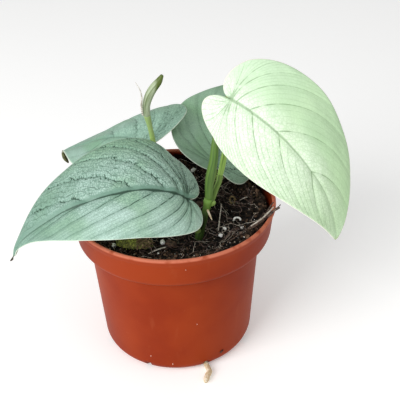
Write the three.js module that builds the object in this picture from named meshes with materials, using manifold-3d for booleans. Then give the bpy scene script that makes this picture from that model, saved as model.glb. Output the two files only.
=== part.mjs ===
// A young aroid house plant with silvery heart-shaped leaves, in a 12 cm plastic nursery pot.
// Millimetres, +Z up. The origin is on the pot's axis, on the surface that the pot stands on.
// The plant's front faces -Y. Four leaves and two new shoots grow from two short stems.

import * as THREE from "three";
import { mergeVertices } from "three/addons/utils/BufferGeometryUtils.js";
import Module from "manifold-3d";

// Driving dimensions of the pot
const POT_HEIGHT = 95;
const RIM_RADIUS = 60;
const COLLAR_FOOT_RADIUS = 57.6; // the collar's outside, where its shoulder starts to curve in
const COLLAR_HEIGHT = 21.8;
const BODY_TOP_RADIUS = 50.8;
const BODY_FOOT_RADIUS = 46.2;
const WALL = 1.5;
const FOOT_RING_RADIUS = 41;
const PAD_RADIUS = 12; // flat middle of the base
const CHANNEL_HEIGHT = 3; // how far the base is raised between the pad and the foot ring
const POT_SIDES = 40;
const NOTCH_COUNT = 8;
const NOTCH_WIDTH = 3.8;
const NOTCH_HEIGHT = 5;
const NOTCH_ANGLE = -70; // degrees; the root that has grown out of the pot uses this notch

// Driving dimensions of the soil and of the joints between pieces
const SOIL_LEVEL = 85.5;
const GAP = 0.35; // between pieces that touch
const LEAF_THICKNESS = 0.9;
const LEAF_ROWS = 22; // steps along each half margin
const LEAF_COLUMNS = 4; // steps from the midrib to the margin

const COLOUR = {
  pot: "#a5482b",
  soil: "#2a211d",
  silverLeaf: "#7f9f90",
  darkLeaf: "#6f8f7c",
  paleLeaf: "#cdeebb",
  stem: "#3f5522",
  petiole: "#5f7a38",
  youngPetiole: "#86a552",
  bud: "#a9bd84",
  root: "#dccbae",
  driedSheath: "#b9ad8c",
  moss: "#50502a",
  bark: "#4a3427",
  perlite: "#ebe8e0",
  straw: "#b9aa93",
  twig: "#4a3a31",
};

const ROUGHNESS = { plastic: 0.45, leaf: 0.5, stem: 0.45, dry: 0.85 };

const wasm = await Module();
wasm.setup();

const plant = new THREE.Group();

function add(name, geometry, colour, roughness) {
  const material = new THREE.MeshStandardMaterial({ color: colour, roughness, metalness: 0 });
  const mesh = new THREE.Mesh(geometry, material);
  mesh.name = name;
  plant.add(mesh);
}

// Closed mesh to solid and back, for the cuts.
function solidOf(geometry) {
  const bare = geometry.clone();
  bare.deleteAttribute("normal");
  bare.deleteAttribute("uv");
  const merged = mergeVertices(bare, 1e-4);
  const mesh = new wasm.Mesh({
    numProp: 3,
    vertProperties: new Float32Array(merged.attributes.position.array),
    triVerts: new Uint32Array(merged.index.array),
  });
  return new wasm.Manifold(mesh);
}

function geometryOf(solid) {
  const mesh = solid.getMesh();
  const geometry = new THREE.BufferGeometry();
  geometry.setAttribute("position", new THREE.BufferAttribute(new Float32Array(mesh.vertProperties), 3));
  geometry.setIndex(new THREE.BufferAttribute(new Uint32Array(mesh.triVerts), 1));
  return geometry;
}

function cut(geometry, cutters) {
  return geometryOf(cutters.reduce((solid, cutter) => solid.subtract(solidOf(cutter)), solidOf(geometry)));
}

// A profile of [radius, height] points turned about the pot's axis.
function turned(profile, sides) {
  const points = profile.map(([radius, height]) => new THREE.Vector2(radius, height));
  return new THREE.LatheGeometry(points, sides).rotateX(Math.PI / 2);
}

// Points on a circular arc of a profile, angles in degrees from the radial direction.
function arc(radius, height, size, fromAngle, toAngle, steps) {
  return Array.from({ length: steps + 1 }, (_, i) => {
    const angle = THREE.MathUtils.degToRad(fromAngle + ((toAngle - fromAngle) * i) / steps);
    return [radius + size * Math.cos(angle), height + size * Math.sin(angle)];
  });
}

// A round tube that tapers, on a smooth curve through its points, closed at both ends.
// Each point is [x, y, z, radius].
function tube(points, sides, steps) {
  const curve = new THREE.CatmullRomCurve3(points.map(([x, y, z]) => new THREE.Vector3(x, y, z)), false, "centripetal");
  const position = [];
  const index = [];
  let across = new THREE.Vector3(1, 0, 0);
  for (let i = 0; i <= steps; i += 1) {
    const u = i / steps;
    const place = curve.getPoint(u);
    const along = curve.getTangent(u);
    across = across.clone().addScaledVector(along, -across.dot(along)).normalize();
    const up = new THREE.Vector3().crossVectors(along, across);
    const at = u * (points.length - 1);
    const low = Math.min(Math.floor(at), points.length - 2);
    const radius = THREE.MathUtils.lerp(points[low][3], points[low + 1][3], at - low);
    for (let k = 0; k < sides; k += 1) {
      const turn = (2 * Math.PI * k) / sides;
      const corner = place.clone();
      corner.addScaledVector(across, radius * Math.cos(turn)).addScaledVector(up, radius * Math.sin(turn));
      position.push(corner.x, corner.y, corner.z);
    }
  }
  for (let i = 0; i < steps; i += 1) {
    for (let k = 0; k < sides; k += 1) {
      const a = i * sides + k;
      const b = i * sides + ((k + 1) % sides);
      index.push(a, b, b + sides, a, b + sides, a + sides);
    }
  }
  const last = steps * sides;
  for (let k = 1; k < sides - 1; k += 1) {
    index.push(0, k + 1, k, last, last + k, last + k + 1);
  }
  const geometry = new THREE.BufferGeometry();
  geometry.setAttribute("position", new THREE.Float32BufferAttribute(position, 3));
  geometry.setIndex(index);
  return geometry;
}

// The same route, wider and longer at both ends by extra.
function widened(points, extra) {
  const beyond = (end, next) => {
    const [from, to] = [next, end].map(([x, y, z]) => new THREE.Vector3(x, y, z));
    return to.addScaledVector(to.clone().sub(from).normalize(), extra).toArray();
  };
  const ends = [beyond(points[0], points[1]), beyond(points.at(-1), points.at(-2))];
  return points.map(([x, y, z, radius], i) => {
    const place = i === 0 ? ends[0] : i === points.length - 1 ? ends[1] : [x, y, z];
    return [...place, radius + extra];
  });
}

// Pot: one moulded shell. The wall goes out from the middle of the base, over the rim and back inside.

function potGeometry() {
  const corner = BODY_FOOT_RADIUS - 7.5;
  const shoulder = POT_HEIGHT - COLLAR_HEIGHT;
  const outside = [
    [0, 0],
    [PAD_RADIUS, 0],
    [PAD_RADIUS + 1.5, CHANNEL_HEIGHT],
    [FOOT_RING_RADIUS - 6.5, CHANNEL_HEIGHT],
    [FOOT_RING_RADIUS - 5, 0],
    ...arc(corner, 7.5, 7.5, -78, 0, 3),
    [BODY_TOP_RADIUS, shoulder - 1],
    [BODY_TOP_RADIUS + 0.8, shoulder],
    [BODY_TOP_RADIUS + 3.2, shoulder + 1],
    [COLLAR_FOOT_RADIUS - 1.2, shoulder + 2.8],
    [COLLAR_FOOT_RADIUS, shoulder + 5.5],
    [RIM_RADIUS - 0.6, POT_HEIGHT - 2.4],
    [RIM_RADIUS, POT_HEIGHT - 1.6],
    [RIM_RADIUS - 0.2, POT_HEIGHT - 0.4],
    [RIM_RADIUS - 1, POT_HEIGHT],
  ];
  const inside = [
    [RIM_RADIUS - 1.9, POT_HEIGHT - 0.5],
    [RIM_RADIUS - 2.1, POT_HEIGHT - 2.4],
    [COLLAR_FOOT_RADIUS - WALL, shoulder + 5.5],
    [COLLAR_FOOT_RADIUS - 1.2 - WALL, shoulder + 3.8],
    [BODY_TOP_RADIUS + 1.6 - WALL, shoulder + 2.2],
    [BODY_TOP_RADIUS - WALL, shoulder],
    ...arc(corner, 7.5, 7.5 - WALL, 0, -78, 3),
    [FOOT_RING_RADIUS - 5.4, WALL],
    [FOOT_RING_RADIUS - 6.9, CHANNEL_HEIGHT + WALL],
    [PAD_RADIUS + 1.1, CHANNEL_HEIGHT + WALL],
    [PAD_RADIUS - 0.4, WALL],
    [0, WALL],
  ];
  const notches = Array.from({ length: NOTCH_COUNT }, (_, i) => {
    const block = new THREE.BoxGeometry(22, NOTCH_WIDTH, NOTCH_HEIGHT + 2);
    block.translate(BODY_FOOT_RADIUS, 0, NOTCH_HEIGHT / 2 - 1);
    return block.rotateZ(THREE.MathUtils.degToRad(NOTCH_ANGLE + (360 * i) / NOTCH_COUNT));
  });
  return cut(turned([...outside, ...inside], POT_SIDES), notches);
}

add("pot", potGeometry(), COLOUR.pot, ROUGHNESS.plastic);

// Height of the soil's uneven surface, a little higher at the front left.
function soilHeight(x, y) {
  const slope = -0.03 * x - 0.03 * y;
  const lumps = 0.7 * Math.sin(x / 9 + 1) * Math.cos(y / 8) + 0.4 * Math.sin((x + y) / 5);
  return SOIL_LEVEL + slope + lumps;
}

// Stems, petioles, shoots and roots: routes of [x, y, z, radius].
const ROUTE = {
  main_stem: [
    [9, -24, 52, 2.1],
    [11, -26, 68, 2.2],
    [13.5, -27, 86, 2.3],
    [16.5, -26.5, 98, 2.2],
    [18.6, -25.6, 106, 2.2],
    [19.5, -25.2, 109.8, 2.6],
  ],
  second_stem: [
    [-3, 2, 50, 2],
    [-5, 3, 70, 2.1],
    [-7.5, 4.5, 86, 2.2],
    [-9, 5.2, 98, 2.4],
  ],
  pale_leaf_petiole: [
    [19.6, -24.9, 110.4, 2.1],
    [20.2, -23.5, 121.3, 2.3],
    [22.7, -22, 132.8, 2.4],
    [23.7, -20.3, 141, 2.1],
    [26, -17.3, 152, 1.8],
    [28.8, -15.6, 161.5, 1.6],
    [30.9, -16.5, 166.9, 1.4],
    [31.4, -18.1, 168.3, 1.3],
  ],
  front_leaf_petiole: [
    [13.1, -30.8, 93, 1.7],
    [11.4, -33, 98, 1.8],
    [9.2, -33.6, 105, 1.7],
    [7.8, -33, 110.6, 1.4],
    [8.3, -32.7, 114.5, 1.3],
  ],
  middle_leaf_petiole: [
    [17.5, -22.6, 97, 1.8],
    [18.8, -14, 99, 1.7],
    [21.4, -3, 101.8, 1.6],
    [24.4, 8.2, 103.6, 1.4],
    [25.8, 12.9, 105.4, 1.3],
  ],
  back_leaf_petiole: [
    [-10.4, 7.2, 98.9, 1.7],
    [-12.4, 9.2, 108, 1.7],
    [-14.3, 9.9, 117, 1.5],
    [-14.5, 9.2, 123.4, 1.3],
  ],
  right_shoot: [
    [23, -21.6, 110.6, 0.8],
    [23.9, -18.6, 111.6, 1.2],
    [26, -15.4, 115.6, 1.7],
    [26.6, -14, 117.8, 1.9],
  ],
  right_shoot_leaf: [
    [26.8, -13.6, 118.4, 1.6],
    [28.1, -12.4, 123, 1.7],
    [29.3, -11, 129, 1.6],
    [30.2, -9.6, 138, 1.1],
    [30.4, -8.8, 146, 0.4],
  ],
  left_shoot: [
    [-8, 3.6, 98.9, 1.5],
    [-8.6, 5, 112, 1.6],
    [-9.6, 6.2, 129, 1.5],
    [-11.2, 5.8, 141, 1.5],
    [-12.2, 5.1, 147.2, 1.9],
  ],
  left_shoot_leaf: [
    [-12.3, 5, 147.8, 2],
    [-12.2, 4.6, 153.8, 2.2],
    [-10.4, 4.4, 159.6, 2.4],
    [-7.9, 4.3, 164, 2.3],
    [-4.8, 4, 168, 1.9],
    [-2.8, 3.8, 171.6, 0.9],
  ],
  left_shoot_sheath: [
    [-14.6, 2.6, 149, 0.4],
    [-14.9, 2.2, 155, 0.5],
    [-14.4, 1.6, 161, 0.6],
    [-15.2, 1.6, 165, 0.5],
    [-17.3, 2, 169, 0.3],
  ],
  aerial_root: [
    [18.8, -29.6, 105.6, 1.1],
    [19.6, -31.2, 103.6, 1],
    [20.8, -32.4, 100.8, 0.4],
  ],
  side_root: [
    [9, -24, 54, 0.9],
    [20, -12, 44, 0.9],
    [30, -4, 30, 0.8],
    [34, 8, 18, 0.6],
    [26, 18, 10, 0.4],
  ],
  back_root: [
    [-3, 2, 52, 0.9],
    [-14, 14, 48, 0.9],
    [-26, 20, 34, 0.8],
    [-32, 10, 20, 0.6],
    [-28, -6, 11, 0.4],
  ],
  drain_root: [
    [10.4, -28.8, 60, 0.9],
    [12, -34, 48, 1],
    [11, -36, 30, 1],
    [12, -34, 14, 1],
    [13.2, -36.5, 7, 1],
    [14.4, -39.6, 3.6, 1.2],
    [15.2, -41.8, 2.3, 1.5],
    [16.4, -45.4, 2.1, 1.7],
    [17, -48.4, 2.1, 1.9],
    [15.4, -52, 2.1, 1.8],
    [14.3, -55.6, 2, 1.6],
    [13.8, -58, 2, 1],
  ],
};

// How finely each buried route is drawn: sides and steps.
const BURIED = {
  main_stem: [10, 14],
  side_root: [6, 12],
  second_stem: [10, 12],
  back_root: [6, 12],
  drain_root: [8, 24],
};

function buriedTube(name, extra) {
  return tube(widened(ROUTE[name], extra), ...BURIED[name]);
}

// Each buried stem is one body with the root at its foot.
Object.entries({ main_stem: "side_root", second_stem: "back_root" }).forEach(([name, root]) => {
  const joined = solidOf(buriedTube(name, 0)).add(solidOf(buriedTube(root, 0)));
  add(name, geometryOf(joined), COLOUR.stem, ROUGHNESS.stem);
});

add("drain_root", buriedTube("drain_root", 0), COLOUR.root, ROUGHNESS.dry);

const SHOOTS = [
  ["pale_leaf_petiole", COLOUR.petiole, 10, 18],
  ["front_leaf_petiole", COLOUR.petiole, 8, 10],
  ["middle_leaf_petiole", COLOUR.petiole, 8, 10],
  ["back_leaf_petiole", COLOUR.petiole, 8, 8],
  ["right_shoot", COLOUR.petiole, 8, 6],
  ["right_shoot_leaf", COLOUR.youngPetiole, 8, 10],
  ["left_shoot", COLOUR.youngPetiole, 8, 12],
  ["left_shoot_leaf", COLOUR.bud, 10, 12],
  ["left_shoot_sheath", COLOUR.driedSheath, 6, 8],
  ["aerial_root", COLOUR.root, 6, 4],
];

SHOOTS.forEach(([name, colour, sides, steps]) => {
  add(name, tube(ROUTE[name], sides, steps), colour, ROUGHNESS.stem);
});

// Soil: fills the pot to just under its collar's top, with channels where stems and roots pass through.

function soilGeometry() {
  const shoulder = POT_HEIGHT - COLLAR_HEIGHT;
  const floor = WALL + GAP;
  const corner = BODY_FOOT_RADIUS - 7.5;
  const profile = [
    [0, floor],
    [PAD_RADIUS - 0.8, floor],
    [PAD_RADIUS + 0.8, CHANNEL_HEIGHT + WALL + GAP],
    [FOOT_RING_RADIUS - 6.6, CHANNEL_HEIGHT + WALL + GAP],
    [FOOT_RING_RADIUS - 4.8, NOTCH_HEIGHT + GAP],
    [corner + 5.2, NOTCH_HEIGHT + GAP],
    [corner + 5.6, 8],
    [BODY_TOP_RADIUS - WALL - GAP, shoulder],
    [BODY_TOP_RADIUS + 1.2 - WALL - GAP, shoulder + 2.6],
    [COLLAR_FOOT_RADIUS - 1.7 - WALL - GAP, shoulder + 4.2],
    [COLLAR_FOOT_RADIUS - WALL - GAP, shoulder + 6],
    [COLLAR_FOOT_RADIUS + 0.5 - WALL - GAP, SOIL_LEVEL],
    [48, SOIL_LEVEL],
    [38, SOIL_LEVEL],
    [27, SOIL_LEVEL],
    [15, SOIL_LEVEL],
    [0, SOIL_LEVEL],
  ];
  const soil = turned(profile, POT_SIDES);
  const place = soil.attributes.position;
  for (let i = 0; i < place.count; i += 1) {
    if (place.getZ(i) > SOIL_LEVEL - 0.01) {
      place.setZ(i, soilHeight(place.getX(i), place.getY(i)));
    }
  }
  return cut(
    soil,
    Object.keys(BURIED).map((name) => buriedTube(name, GAP)),
  );
}

add("soil", soilGeometry(), COLOUR.soil, ROUGHNESS.dry);

// Leaves. A blade is a flat heart shape bent in space. Along the midrib it follows a cubic curve from the
// notch between its lobes to its tip. Across, the two halves fold up from the midrib and droop outwards.

function bezier(points, t) {
  const s = 1 - t;
  const weights = [s * s * s, 3 * s * s * t, 3 * s * t * t, t * t * t];
  return points[0].map((_, axis) => weights.reduce((sum, weight, i) => sum + weight * points[i][axis], 0));
}

// Half the outline, from the notch (0, 0) round the lobe to the tip (1, 0): x in midrib lengths, y in half
// widths. Two cubic curves meet where the blade is widest. The steps are even along the outline.
function halfOutline(leaf, side) {
  const lobe = leaf.lobe[side];
  const lobeCurve = [[0, 0], [-0.12 * lobe, leaf.notch], [-leaf.lobeBack * lobe, 0.98], [leaf.widest, 1]];
  const tipCurve = [[leaf.widest, 1], [leaf.draw[side], 1], [0.82, leaf.tipWidth[side]], [1, 0]];
  const fine = 200;
  const points = [];
  for (let i = 0; i < fine; i += 1) points.push(bezier(lobeCurve, i / (fine - 1)));
  for (let i = 1; i < fine; i += 1) points.push(bezier(tipCurve, i / (fine - 1)));
  const run = [0];
  points.slice(1).forEach(([x, y], i) => {
    run.push(run[i] + Math.hypot(x - points[i][0], 0.32 * (y - points[i][1])));
  });
  return Array.from({ length: LEAF_ROWS + 1 }, (_, row) => {
    const wanted = (run[run.length - 1] * row) / LEAF_ROWS;
    const after = Math.max(run.findIndex((length) => length >= wanted - 1e-9), 1);
    const part = (wanted - run[after - 1]) / (run[after] - run[after - 1]);
    return [0, 1].map((axis) => THREE.MathUtils.lerp(points[after - 1][axis], points[after][axis], part));
  });
}

// The bent midrib: the place at x midrib lengths, with the directions along, to the right and up.
function midribFrame(leaf, x) {
  const { curve, length, arcs } = leaf;
  const wanted = THREE.MathUtils.clamp(x, 0, 1) * length;
  const after = Math.max(arcs.findIndex((run) => run >= wanted - 1e-9), 1);
  const t = (after - 1 + (wanted - arcs[after - 1]) / (arcs[after] - arcs[after - 1])) / (arcs.length - 1);
  const place = curve.getPoint(t);
  const along = curve.getTangent(t);
  place.addScaledVector(along, Math.min(x, 0) * length);
  const right = new THREE.Vector3().crossVectors(along, new THREE.Vector3(0, 0, 1)).normalize();
  const roll = THREE.MathUtils.lerp(leaf.roll[0], leaf.roll[1], THREE.MathUtils.clamp(x, -0.4, 1));
  right.applyAxisAngle(along, -THREE.MathUtils.degToRad(roll));
  return { place, right, up: new THREE.Vector3().crossVectors(right, along) };
}

// The point of the bent blade at x midrib lengths and y millimetres to the right of the midrib.
function bladePoint(leaf, x, y) {
  const { place, right, up } = midribFrame(leaf, x);
  const bend = leaf.droop / 1000;
  const out = Math.sin(bend * Math.abs(y)) / bend;
  const down = (1 - Math.cos(bend * Math.abs(y))) / bend;
  const fold = THREE.MathUtils.degToRad(leaf.fold);
  const aside = out * Math.cos(fold) + down * Math.sin(fold);
  const raised = out * Math.sin(fold) - down * Math.cos(fold);
  const nearLobe = THREE.MathUtils.clamp((0.15 - x) / 0.35, 0, 1) ** 2;
  const lift = leaf.lift * nearLobe * THREE.MathUtils.clamp(Math.abs(y) / (0.8 * leaf.halfWidth[0]), 0, 1);
  return place.addScaledVector(right, Math.sign(y) * aside).addScaledVector(up, raised + lift);
}

function bladeGeometry(leaf) {
  const curve = new THREE.CubicBezierCurve3(...leaf.midrib.map((point) => new THREE.Vector3(...point)));
  const arcs = curve.getLengths(200);
  Object.assign(leaf, { curve, arcs, length: arcs[arcs.length - 1] });
  const flat = (side, row, column) => {
    const [edgeX, edgeY] = leaf.outline[side][row];
    const part = row / LEAF_ROWS;
    const startX = 0.3 * part ** 1.5 + 0.7 * part ** 7;
    const share = column / LEAF_COLUMNS;
    const x = THREE.MathUtils.lerp(startX, edgeX, share);
    return [x, (side === 0 ? -1 : 1) * edgeY * leaf.halfWidth[side] * share];
  };
  leaf.outline = [halfOutline(leaf, 0), halfOutline(leaf, 1)];
  const position = [];
  const index = [];
  const step = 0.01;
  const vertexPair = (x, y) => {
    const middle = bladePoint(leaf, x, y);
    const along = bladePoint(leaf, x + step, y).sub(bladePoint(leaf, x - step, y));
    const side = bladePoint(leaf, x, y + 1).sub(bladePoint(leaf, x, y - 1));
    const normal = side.cross(along).normalize();
    const top = middle.clone().addScaledVector(normal, LEAF_THICKNESS / 2);
    const bottom = middle.addScaledVector(normal, -LEAF_THICKNESS / 2);
    position.push(top.x, top.y, top.z, bottom.x, bottom.y, bottom.z);
    return position.length / 3 - 2;
  };
  const ids = [0, 1].map((side) =>
    Array.from({ length: LEAF_ROWS + 1 }, (_, row) =>
      Array.from({ length: LEAF_COLUMNS + 1 }, (_, column) => ({ side, row, column })),
    ),
  );
  const notch = vertexPair(0, 0);
  const tip = vertexPair(1, 0);
  ids.forEach((half, side) =>
    half.forEach((line, row) =>
      line.forEach((_, column) => {
        if (row === 0) line[column] = notch;
        else if (row === LEAF_ROWS) line[column] = tip;
        else if (column === 0 && side === 1) line[column] = ids[0][row][0];
        else line[column] = vertexPair(...flat(side, row, column));
      }),
    ),
  );
  const triangle = (a, b, c, turnedOver) => {
    if (a !== b && b !== c && c !== a) index.push(...(turnedOver ? [a, c, b] : [a, b, c]));
  };
  ids.forEach((half, side) => {
    for (let row = 0; row < LEAF_ROWS; row += 1) {
      for (let column = 0; column < LEAF_COLUMNS; column += 1) {
        const [a, b] = [half[row][column], half[row][column + 1]];
        const [c, d] = [half[row + 1][column + 1], half[row + 1][column]];
        triangle(a, b, c, side === 0);
        triangle(a, c, d, side === 0);
        triangle(a + 1, b + 1, c + 1, side === 1);
        triangle(a + 1, c + 1, d + 1, side === 1);
      }
      const [here, next] = [half[row][LEAF_COLUMNS], half[row + 1][LEAF_COLUMNS]];
      triangle(here, here + 1, next + 1, side === 0);
      triangle(here, next + 1, next, side === 0);
    }
  });
  const geometry = new THREE.BufferGeometry();
  geometry.setAttribute("position", new THREE.Float32BufferAttribute(position, 3));
  geometry.setIndex(index);
  return geometry;
}

// midrib: its cubic curve. Left and right, seen from above along the leaf: halfWidth, lobe, and how full the
// outline is towards the tip (draw: how far it stays wide, tipWidth: its width before the tip). roll: degrees
// about the midrib at the notch and at the tip, 0 for a level blade. fold: degrees that each half is folded
// up. droop: bend across the blade, in radians a metre. lift: how far the lobes curl up, mm.
const LEAVES = {
  front_leaf: {
    midrib: [[9.1, -32.7, 116.3], [-25.8, -48.2, 148.8], [-91.2, -42.5, 104.2], [-86.9, -46.3, 90]],
    halfWidth: [29.6, 43], lobe: [0.65, 1.03], roll: [21, 15], fold: 4.7, droop: 10.7, lift: 0,
    lobeBack: 0.19, widest: 0.24, draw: [0.63, 0.63], tipWidth: [0.05, 0.05], notch: 0.03,
    colour: COLOUR.silverLeaf,
  },
  pale_leaf: {
    midrib: [[31.4, -20.4, 168], [48, -33.9, 164.1], [84.1, -55, 138], [84.6, -56.5, 100.6]],
    halfWidth: [33.4, 27], lobe: [1.15, 2.14], roll: [-57, -6], fold: 0.9, droop: 7.4, lift: 0,
    lobeBack: 0.07, widest: 0.31, draw: [0.56, 0.56], tipWidth: [0.57, 0.57], notch: 0.03,
    colour: COLOUR.paleLeaf,
  },
  back_leaf: {
    midrib: [[-14, 9, 125.2], [-26.2, 17.5, 133.6], [-40.4, 27.2, 122.2], [-65.2, 28.2, 114.5]],
    halfWidth: [30, 46], lobe: [1, 0.71], roll: [33.9, -22.1], fold: 2.6, droop: 18.8, lift: 4.2,
    lobeBack: 0.22, widest: 0.21, draw: [0.85, 0.46], tipWidth: [0.6, 0.13], notch: 0.12,
    colour: COLOUR.silverLeaf,
  },
  middle_leaf: {
    midrib: [[27.4, 13.2, 107.3], [27.5, 33.7, 114.8], [46, 59.8, 124.8], [59.1, 89.4, 132.7]],
    halfWidth: [33.4, 27.9], lobe: [1.03, 0.98], roll: [-39, -11], fold: 4, droop: 6.6, lift: 1.2,
    lobeBack: 0.15, widest: 0.23, draw: [0.6, 0.6], tipWidth: [0.16, 0.16], notch: 0.12,
    colour: COLOUR.darkLeaf,
  },
};

Object.entries(LEAVES).forEach(([name, leaf]) => {
  add(name, bladeGeometry(leaf), leaf.colour, ROUGHNESS.leaf);
});

// Small things on the stems and on the soil

add("stem_bud", new THREE.SphereGeometry(1.2, 8, 6).scale(0.8, 0.7, 1.3).translate(22.4, -27.4, 109.2), COLOUR.bud, 0.5);

function grain(radius, x, y) {
  const stone = new THREE.IcosahedronGeometry(radius, 0).scale(1, 0.85, 0.75);
  return stone.translate(x, y, soilHeight(x, y) + radius * 0.75 + GAP);
}

const PERLITE = [
  [1.4, -34.2, -35],
  [0.8, -9.2, -44],
  [1, 28.5, -21.5],
  [1, 25.8, -27.6],
  [0.8, 38.7, -19.7],
  [1.8, 36.5, -11.4],
  [1.2, -6.9, -32.2],
  [1.6, -40, 28],
  [1.3, -20, 44],
  [1.5, 14, 47],
];

PERLITE.forEach(([radius, x, y], i) => {
  add("perlite_" + (i + 1), grain(radius, x, y), COLOUR.perlite, ROUGHNESS.dry);
});

// A rounded scrap lying on the soil: half sizes along its length, across it and up, and its heading.
function scrap([x, y], [long, wide, high], heading) {
  const body = new THREE.SphereGeometry(1, 12, 6).rotateX(Math.PI / 2).scale(long, wide, high);
  body.rotateZ(THREE.MathUtils.degToRad(heading));
  return body.translate(x, y, soilHeight(x, y) + high + GAP + 0.3);
}

add("moss_cushion", scrap([-22.2, -35.6], [9.8, 4.4, 1.8], -7), COLOUR.moss, ROUGHNESS.dry);
add("bark_chip_1", scrap([-2.3, -34.5], [3, 2.2, 1.1], -25), COLOUR.bark, ROUGHNESS.dry);
add("bark_chip_2", scrap([15.6, 6], [3.4, 2.4, 1.1], 30), COLOUR.bark, ROUGHNESS.dry);
add("bark_chip_3", scrap([36, 8.8], [3, 2.2, 1.1], 70), COLOUR.bark, ROUGHNESS.dry);
add("bark_chip_4", scrap([-34, 4], [4, 2.6, 1.2], 15), COLOUR.bark, ROUGHNESS.dry);

// Sticks, straw and fine roots that lie on the soil or across the rim: points of [x, y, height, radius],
// where the height is above the soil, or above the table where the scrap crosses the rim.
const LYING = {
  grey_stick: [[24.7, -23.8, 1.1, 0.4], [26.6, -10, 1.5, 0.45], [28.8, 5.2, 1.5, 0.4]],
  pale_fibre: [[40.4, 10.6, 1, 0.35], [45, 12.6, 1.6, 0.35], [52.4, 10.8, 1, 0.3]],
  front_fibre: [[-14.7, -44, 1, 0.35], [-9.1, -41.4, 1.8, 0.4], [-5, -39.3, 2, 0.35]],
};

Object.entries(LYING).forEach(([name, points]) => {
  const route = points.map(([x, y, height, radius]) => [x, y, soilHeight(x, y) + height, radius]);
  add(name, tube(route, 5, 6), COLOUR.straw, ROUGHNESS.dry);
});

const rimTwig = [[36.3, -30.6, 89.6, 0.7], [42.3, -28.3, 91.4, 0.8], [49.4, -25, 93.7, 0.8], [54, -22.4, 96.4, 0.8]];
add("rim_twig", tube([...rimTwig, [58.6, -18, 96.6, 0.7], [60.2, -16.6, 96.3, 0.5]], 6, 10), COLOUR.twig, ROUGHNESS.dry);
const rimStraw = [[42.6, -29.8, 93.9, 0.35], [48.5, -27, 96.2, 0.4], [54.1, -21.9, 98.2, 0.4], [56.6, -18.8, 98.6, 0.3]];
add("rim_straw", tube(rimStraw, 5, 6), COLOUR.straw, ROUGHNESS.dry);

export default plant;
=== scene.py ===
"""A young silver-leaved scindapsus in a 12 cm plastic nursery pot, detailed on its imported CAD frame."""

import math

import bpy
import numpy as np
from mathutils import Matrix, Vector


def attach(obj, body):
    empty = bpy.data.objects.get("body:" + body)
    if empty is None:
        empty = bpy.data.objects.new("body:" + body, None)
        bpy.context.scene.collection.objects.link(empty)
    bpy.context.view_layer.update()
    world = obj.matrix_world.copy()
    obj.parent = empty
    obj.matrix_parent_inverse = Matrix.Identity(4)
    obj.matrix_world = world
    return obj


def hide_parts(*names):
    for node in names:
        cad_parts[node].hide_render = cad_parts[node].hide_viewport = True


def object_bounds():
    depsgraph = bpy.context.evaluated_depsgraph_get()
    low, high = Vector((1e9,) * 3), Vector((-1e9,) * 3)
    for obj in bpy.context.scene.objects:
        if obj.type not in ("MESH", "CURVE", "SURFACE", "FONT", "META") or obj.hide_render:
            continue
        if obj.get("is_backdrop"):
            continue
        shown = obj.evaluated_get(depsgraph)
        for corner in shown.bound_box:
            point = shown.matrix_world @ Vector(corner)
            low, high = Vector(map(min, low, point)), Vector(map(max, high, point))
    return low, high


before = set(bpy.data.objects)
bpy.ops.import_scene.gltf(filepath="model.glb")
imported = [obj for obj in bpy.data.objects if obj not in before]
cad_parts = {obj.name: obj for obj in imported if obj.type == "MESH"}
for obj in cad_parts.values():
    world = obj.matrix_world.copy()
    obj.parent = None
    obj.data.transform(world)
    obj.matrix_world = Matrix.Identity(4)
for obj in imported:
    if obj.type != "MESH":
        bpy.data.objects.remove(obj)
cad_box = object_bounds()

# The camera
# It looks 33 degrees down on the plant's front from 0.47 m off the middle of the pot's rim, like a hand-held
# product shot with a short telephoto lens.

camera = bpy.data.objects.new("camera", bpy.data.cameras.new("camera"))
camera.data.lens = 72
camera.data.sensor_width = 36
camera.location = (0, -0.3925, 0.3499)
camera.rotation_euler = [math.radians(angle) for angle in (56.8315, 1.1582, -3.0586)]
bpy.context.collection.objects.link(camera)
bpy.context.scene.camera = camera

# The pot
# An injection-moulded polypropylene nursery pot, coloured terracotta all through. A thick collar lets such
# pots stack, a foot ring keeps the base off the table, and slots through the corner of the base drain it.

MM = 0.001
POT_HEIGHT = 95
RIM_RADIUS = 60
COLLAR_HEIGHT = 21.8
COLLAR_FOOT_RADIUS = 57.6
BODY_TOP_RADIUS = 50.8
BODY_FOOT_RADIUS = 46.2
WALL = 1.5
NOTCH_COUNT = 8
NOTCH_WIDTH = 3.8
NOTCH_ANGLE = -70  # degrees; the root that grew out of the pot uses this notch
NOTCH_MIDDLE = [BODY_FOOT_RADIUS - 3.5, 1.5]  # radius and height
NOTCH_REACH = 4.6  # the largest step from there, in and out and up and down
FOOT_BEND = 7.5  # the radius of the bend from the base into the wall
COLLAR_BEND = 4.6  # the radius of the collar's lower edge


def linear(colour):
    """sRGB hex to linear RGBA: c / 12.92 below 0.04045, else ((c + 0.055) / 1.055) to the power 2.4."""
    channels = [int(colour[i : i + 2], 16) / 255 for i in (1, 3, 5)]
    return [c / 12.92 if c < 0.04045 else ((c + 0.055) / 1.055) ** 2.4 for c in channels] + [1]


def finish_named(name, values):
    """A new material with these values on its Principled shader's sockets."""
    material = bpy.data.materials.new(name)
    material.use_nodes = True
    for socket, value in values.items():
        material.node_tree.nodes["Principled BSDF"].inputs[socket].default_value = value
    return material


def node(material, kind, inputs, **settings):
    """Adds a shader node and returns its outputs. Settings are the node's own properties. Inputs gives each
    socket a hex colour, which is made linear, another constant, or another node's output, which is linked."""
    new = material.node_tree.nodes.new("ShaderNode" + kind)
    for key, value in settings.items():
        setattr(new, key, value)
    for socket, value in inputs.items():
        if isinstance(value, bpy.types.NodeSocket):
            material.node_tree.links.new(value, new.inputs[socket])
        else:
            new.inputs[socket].default_value = linear(value) if isinstance(value, str) else value
    return new.outputs


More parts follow.
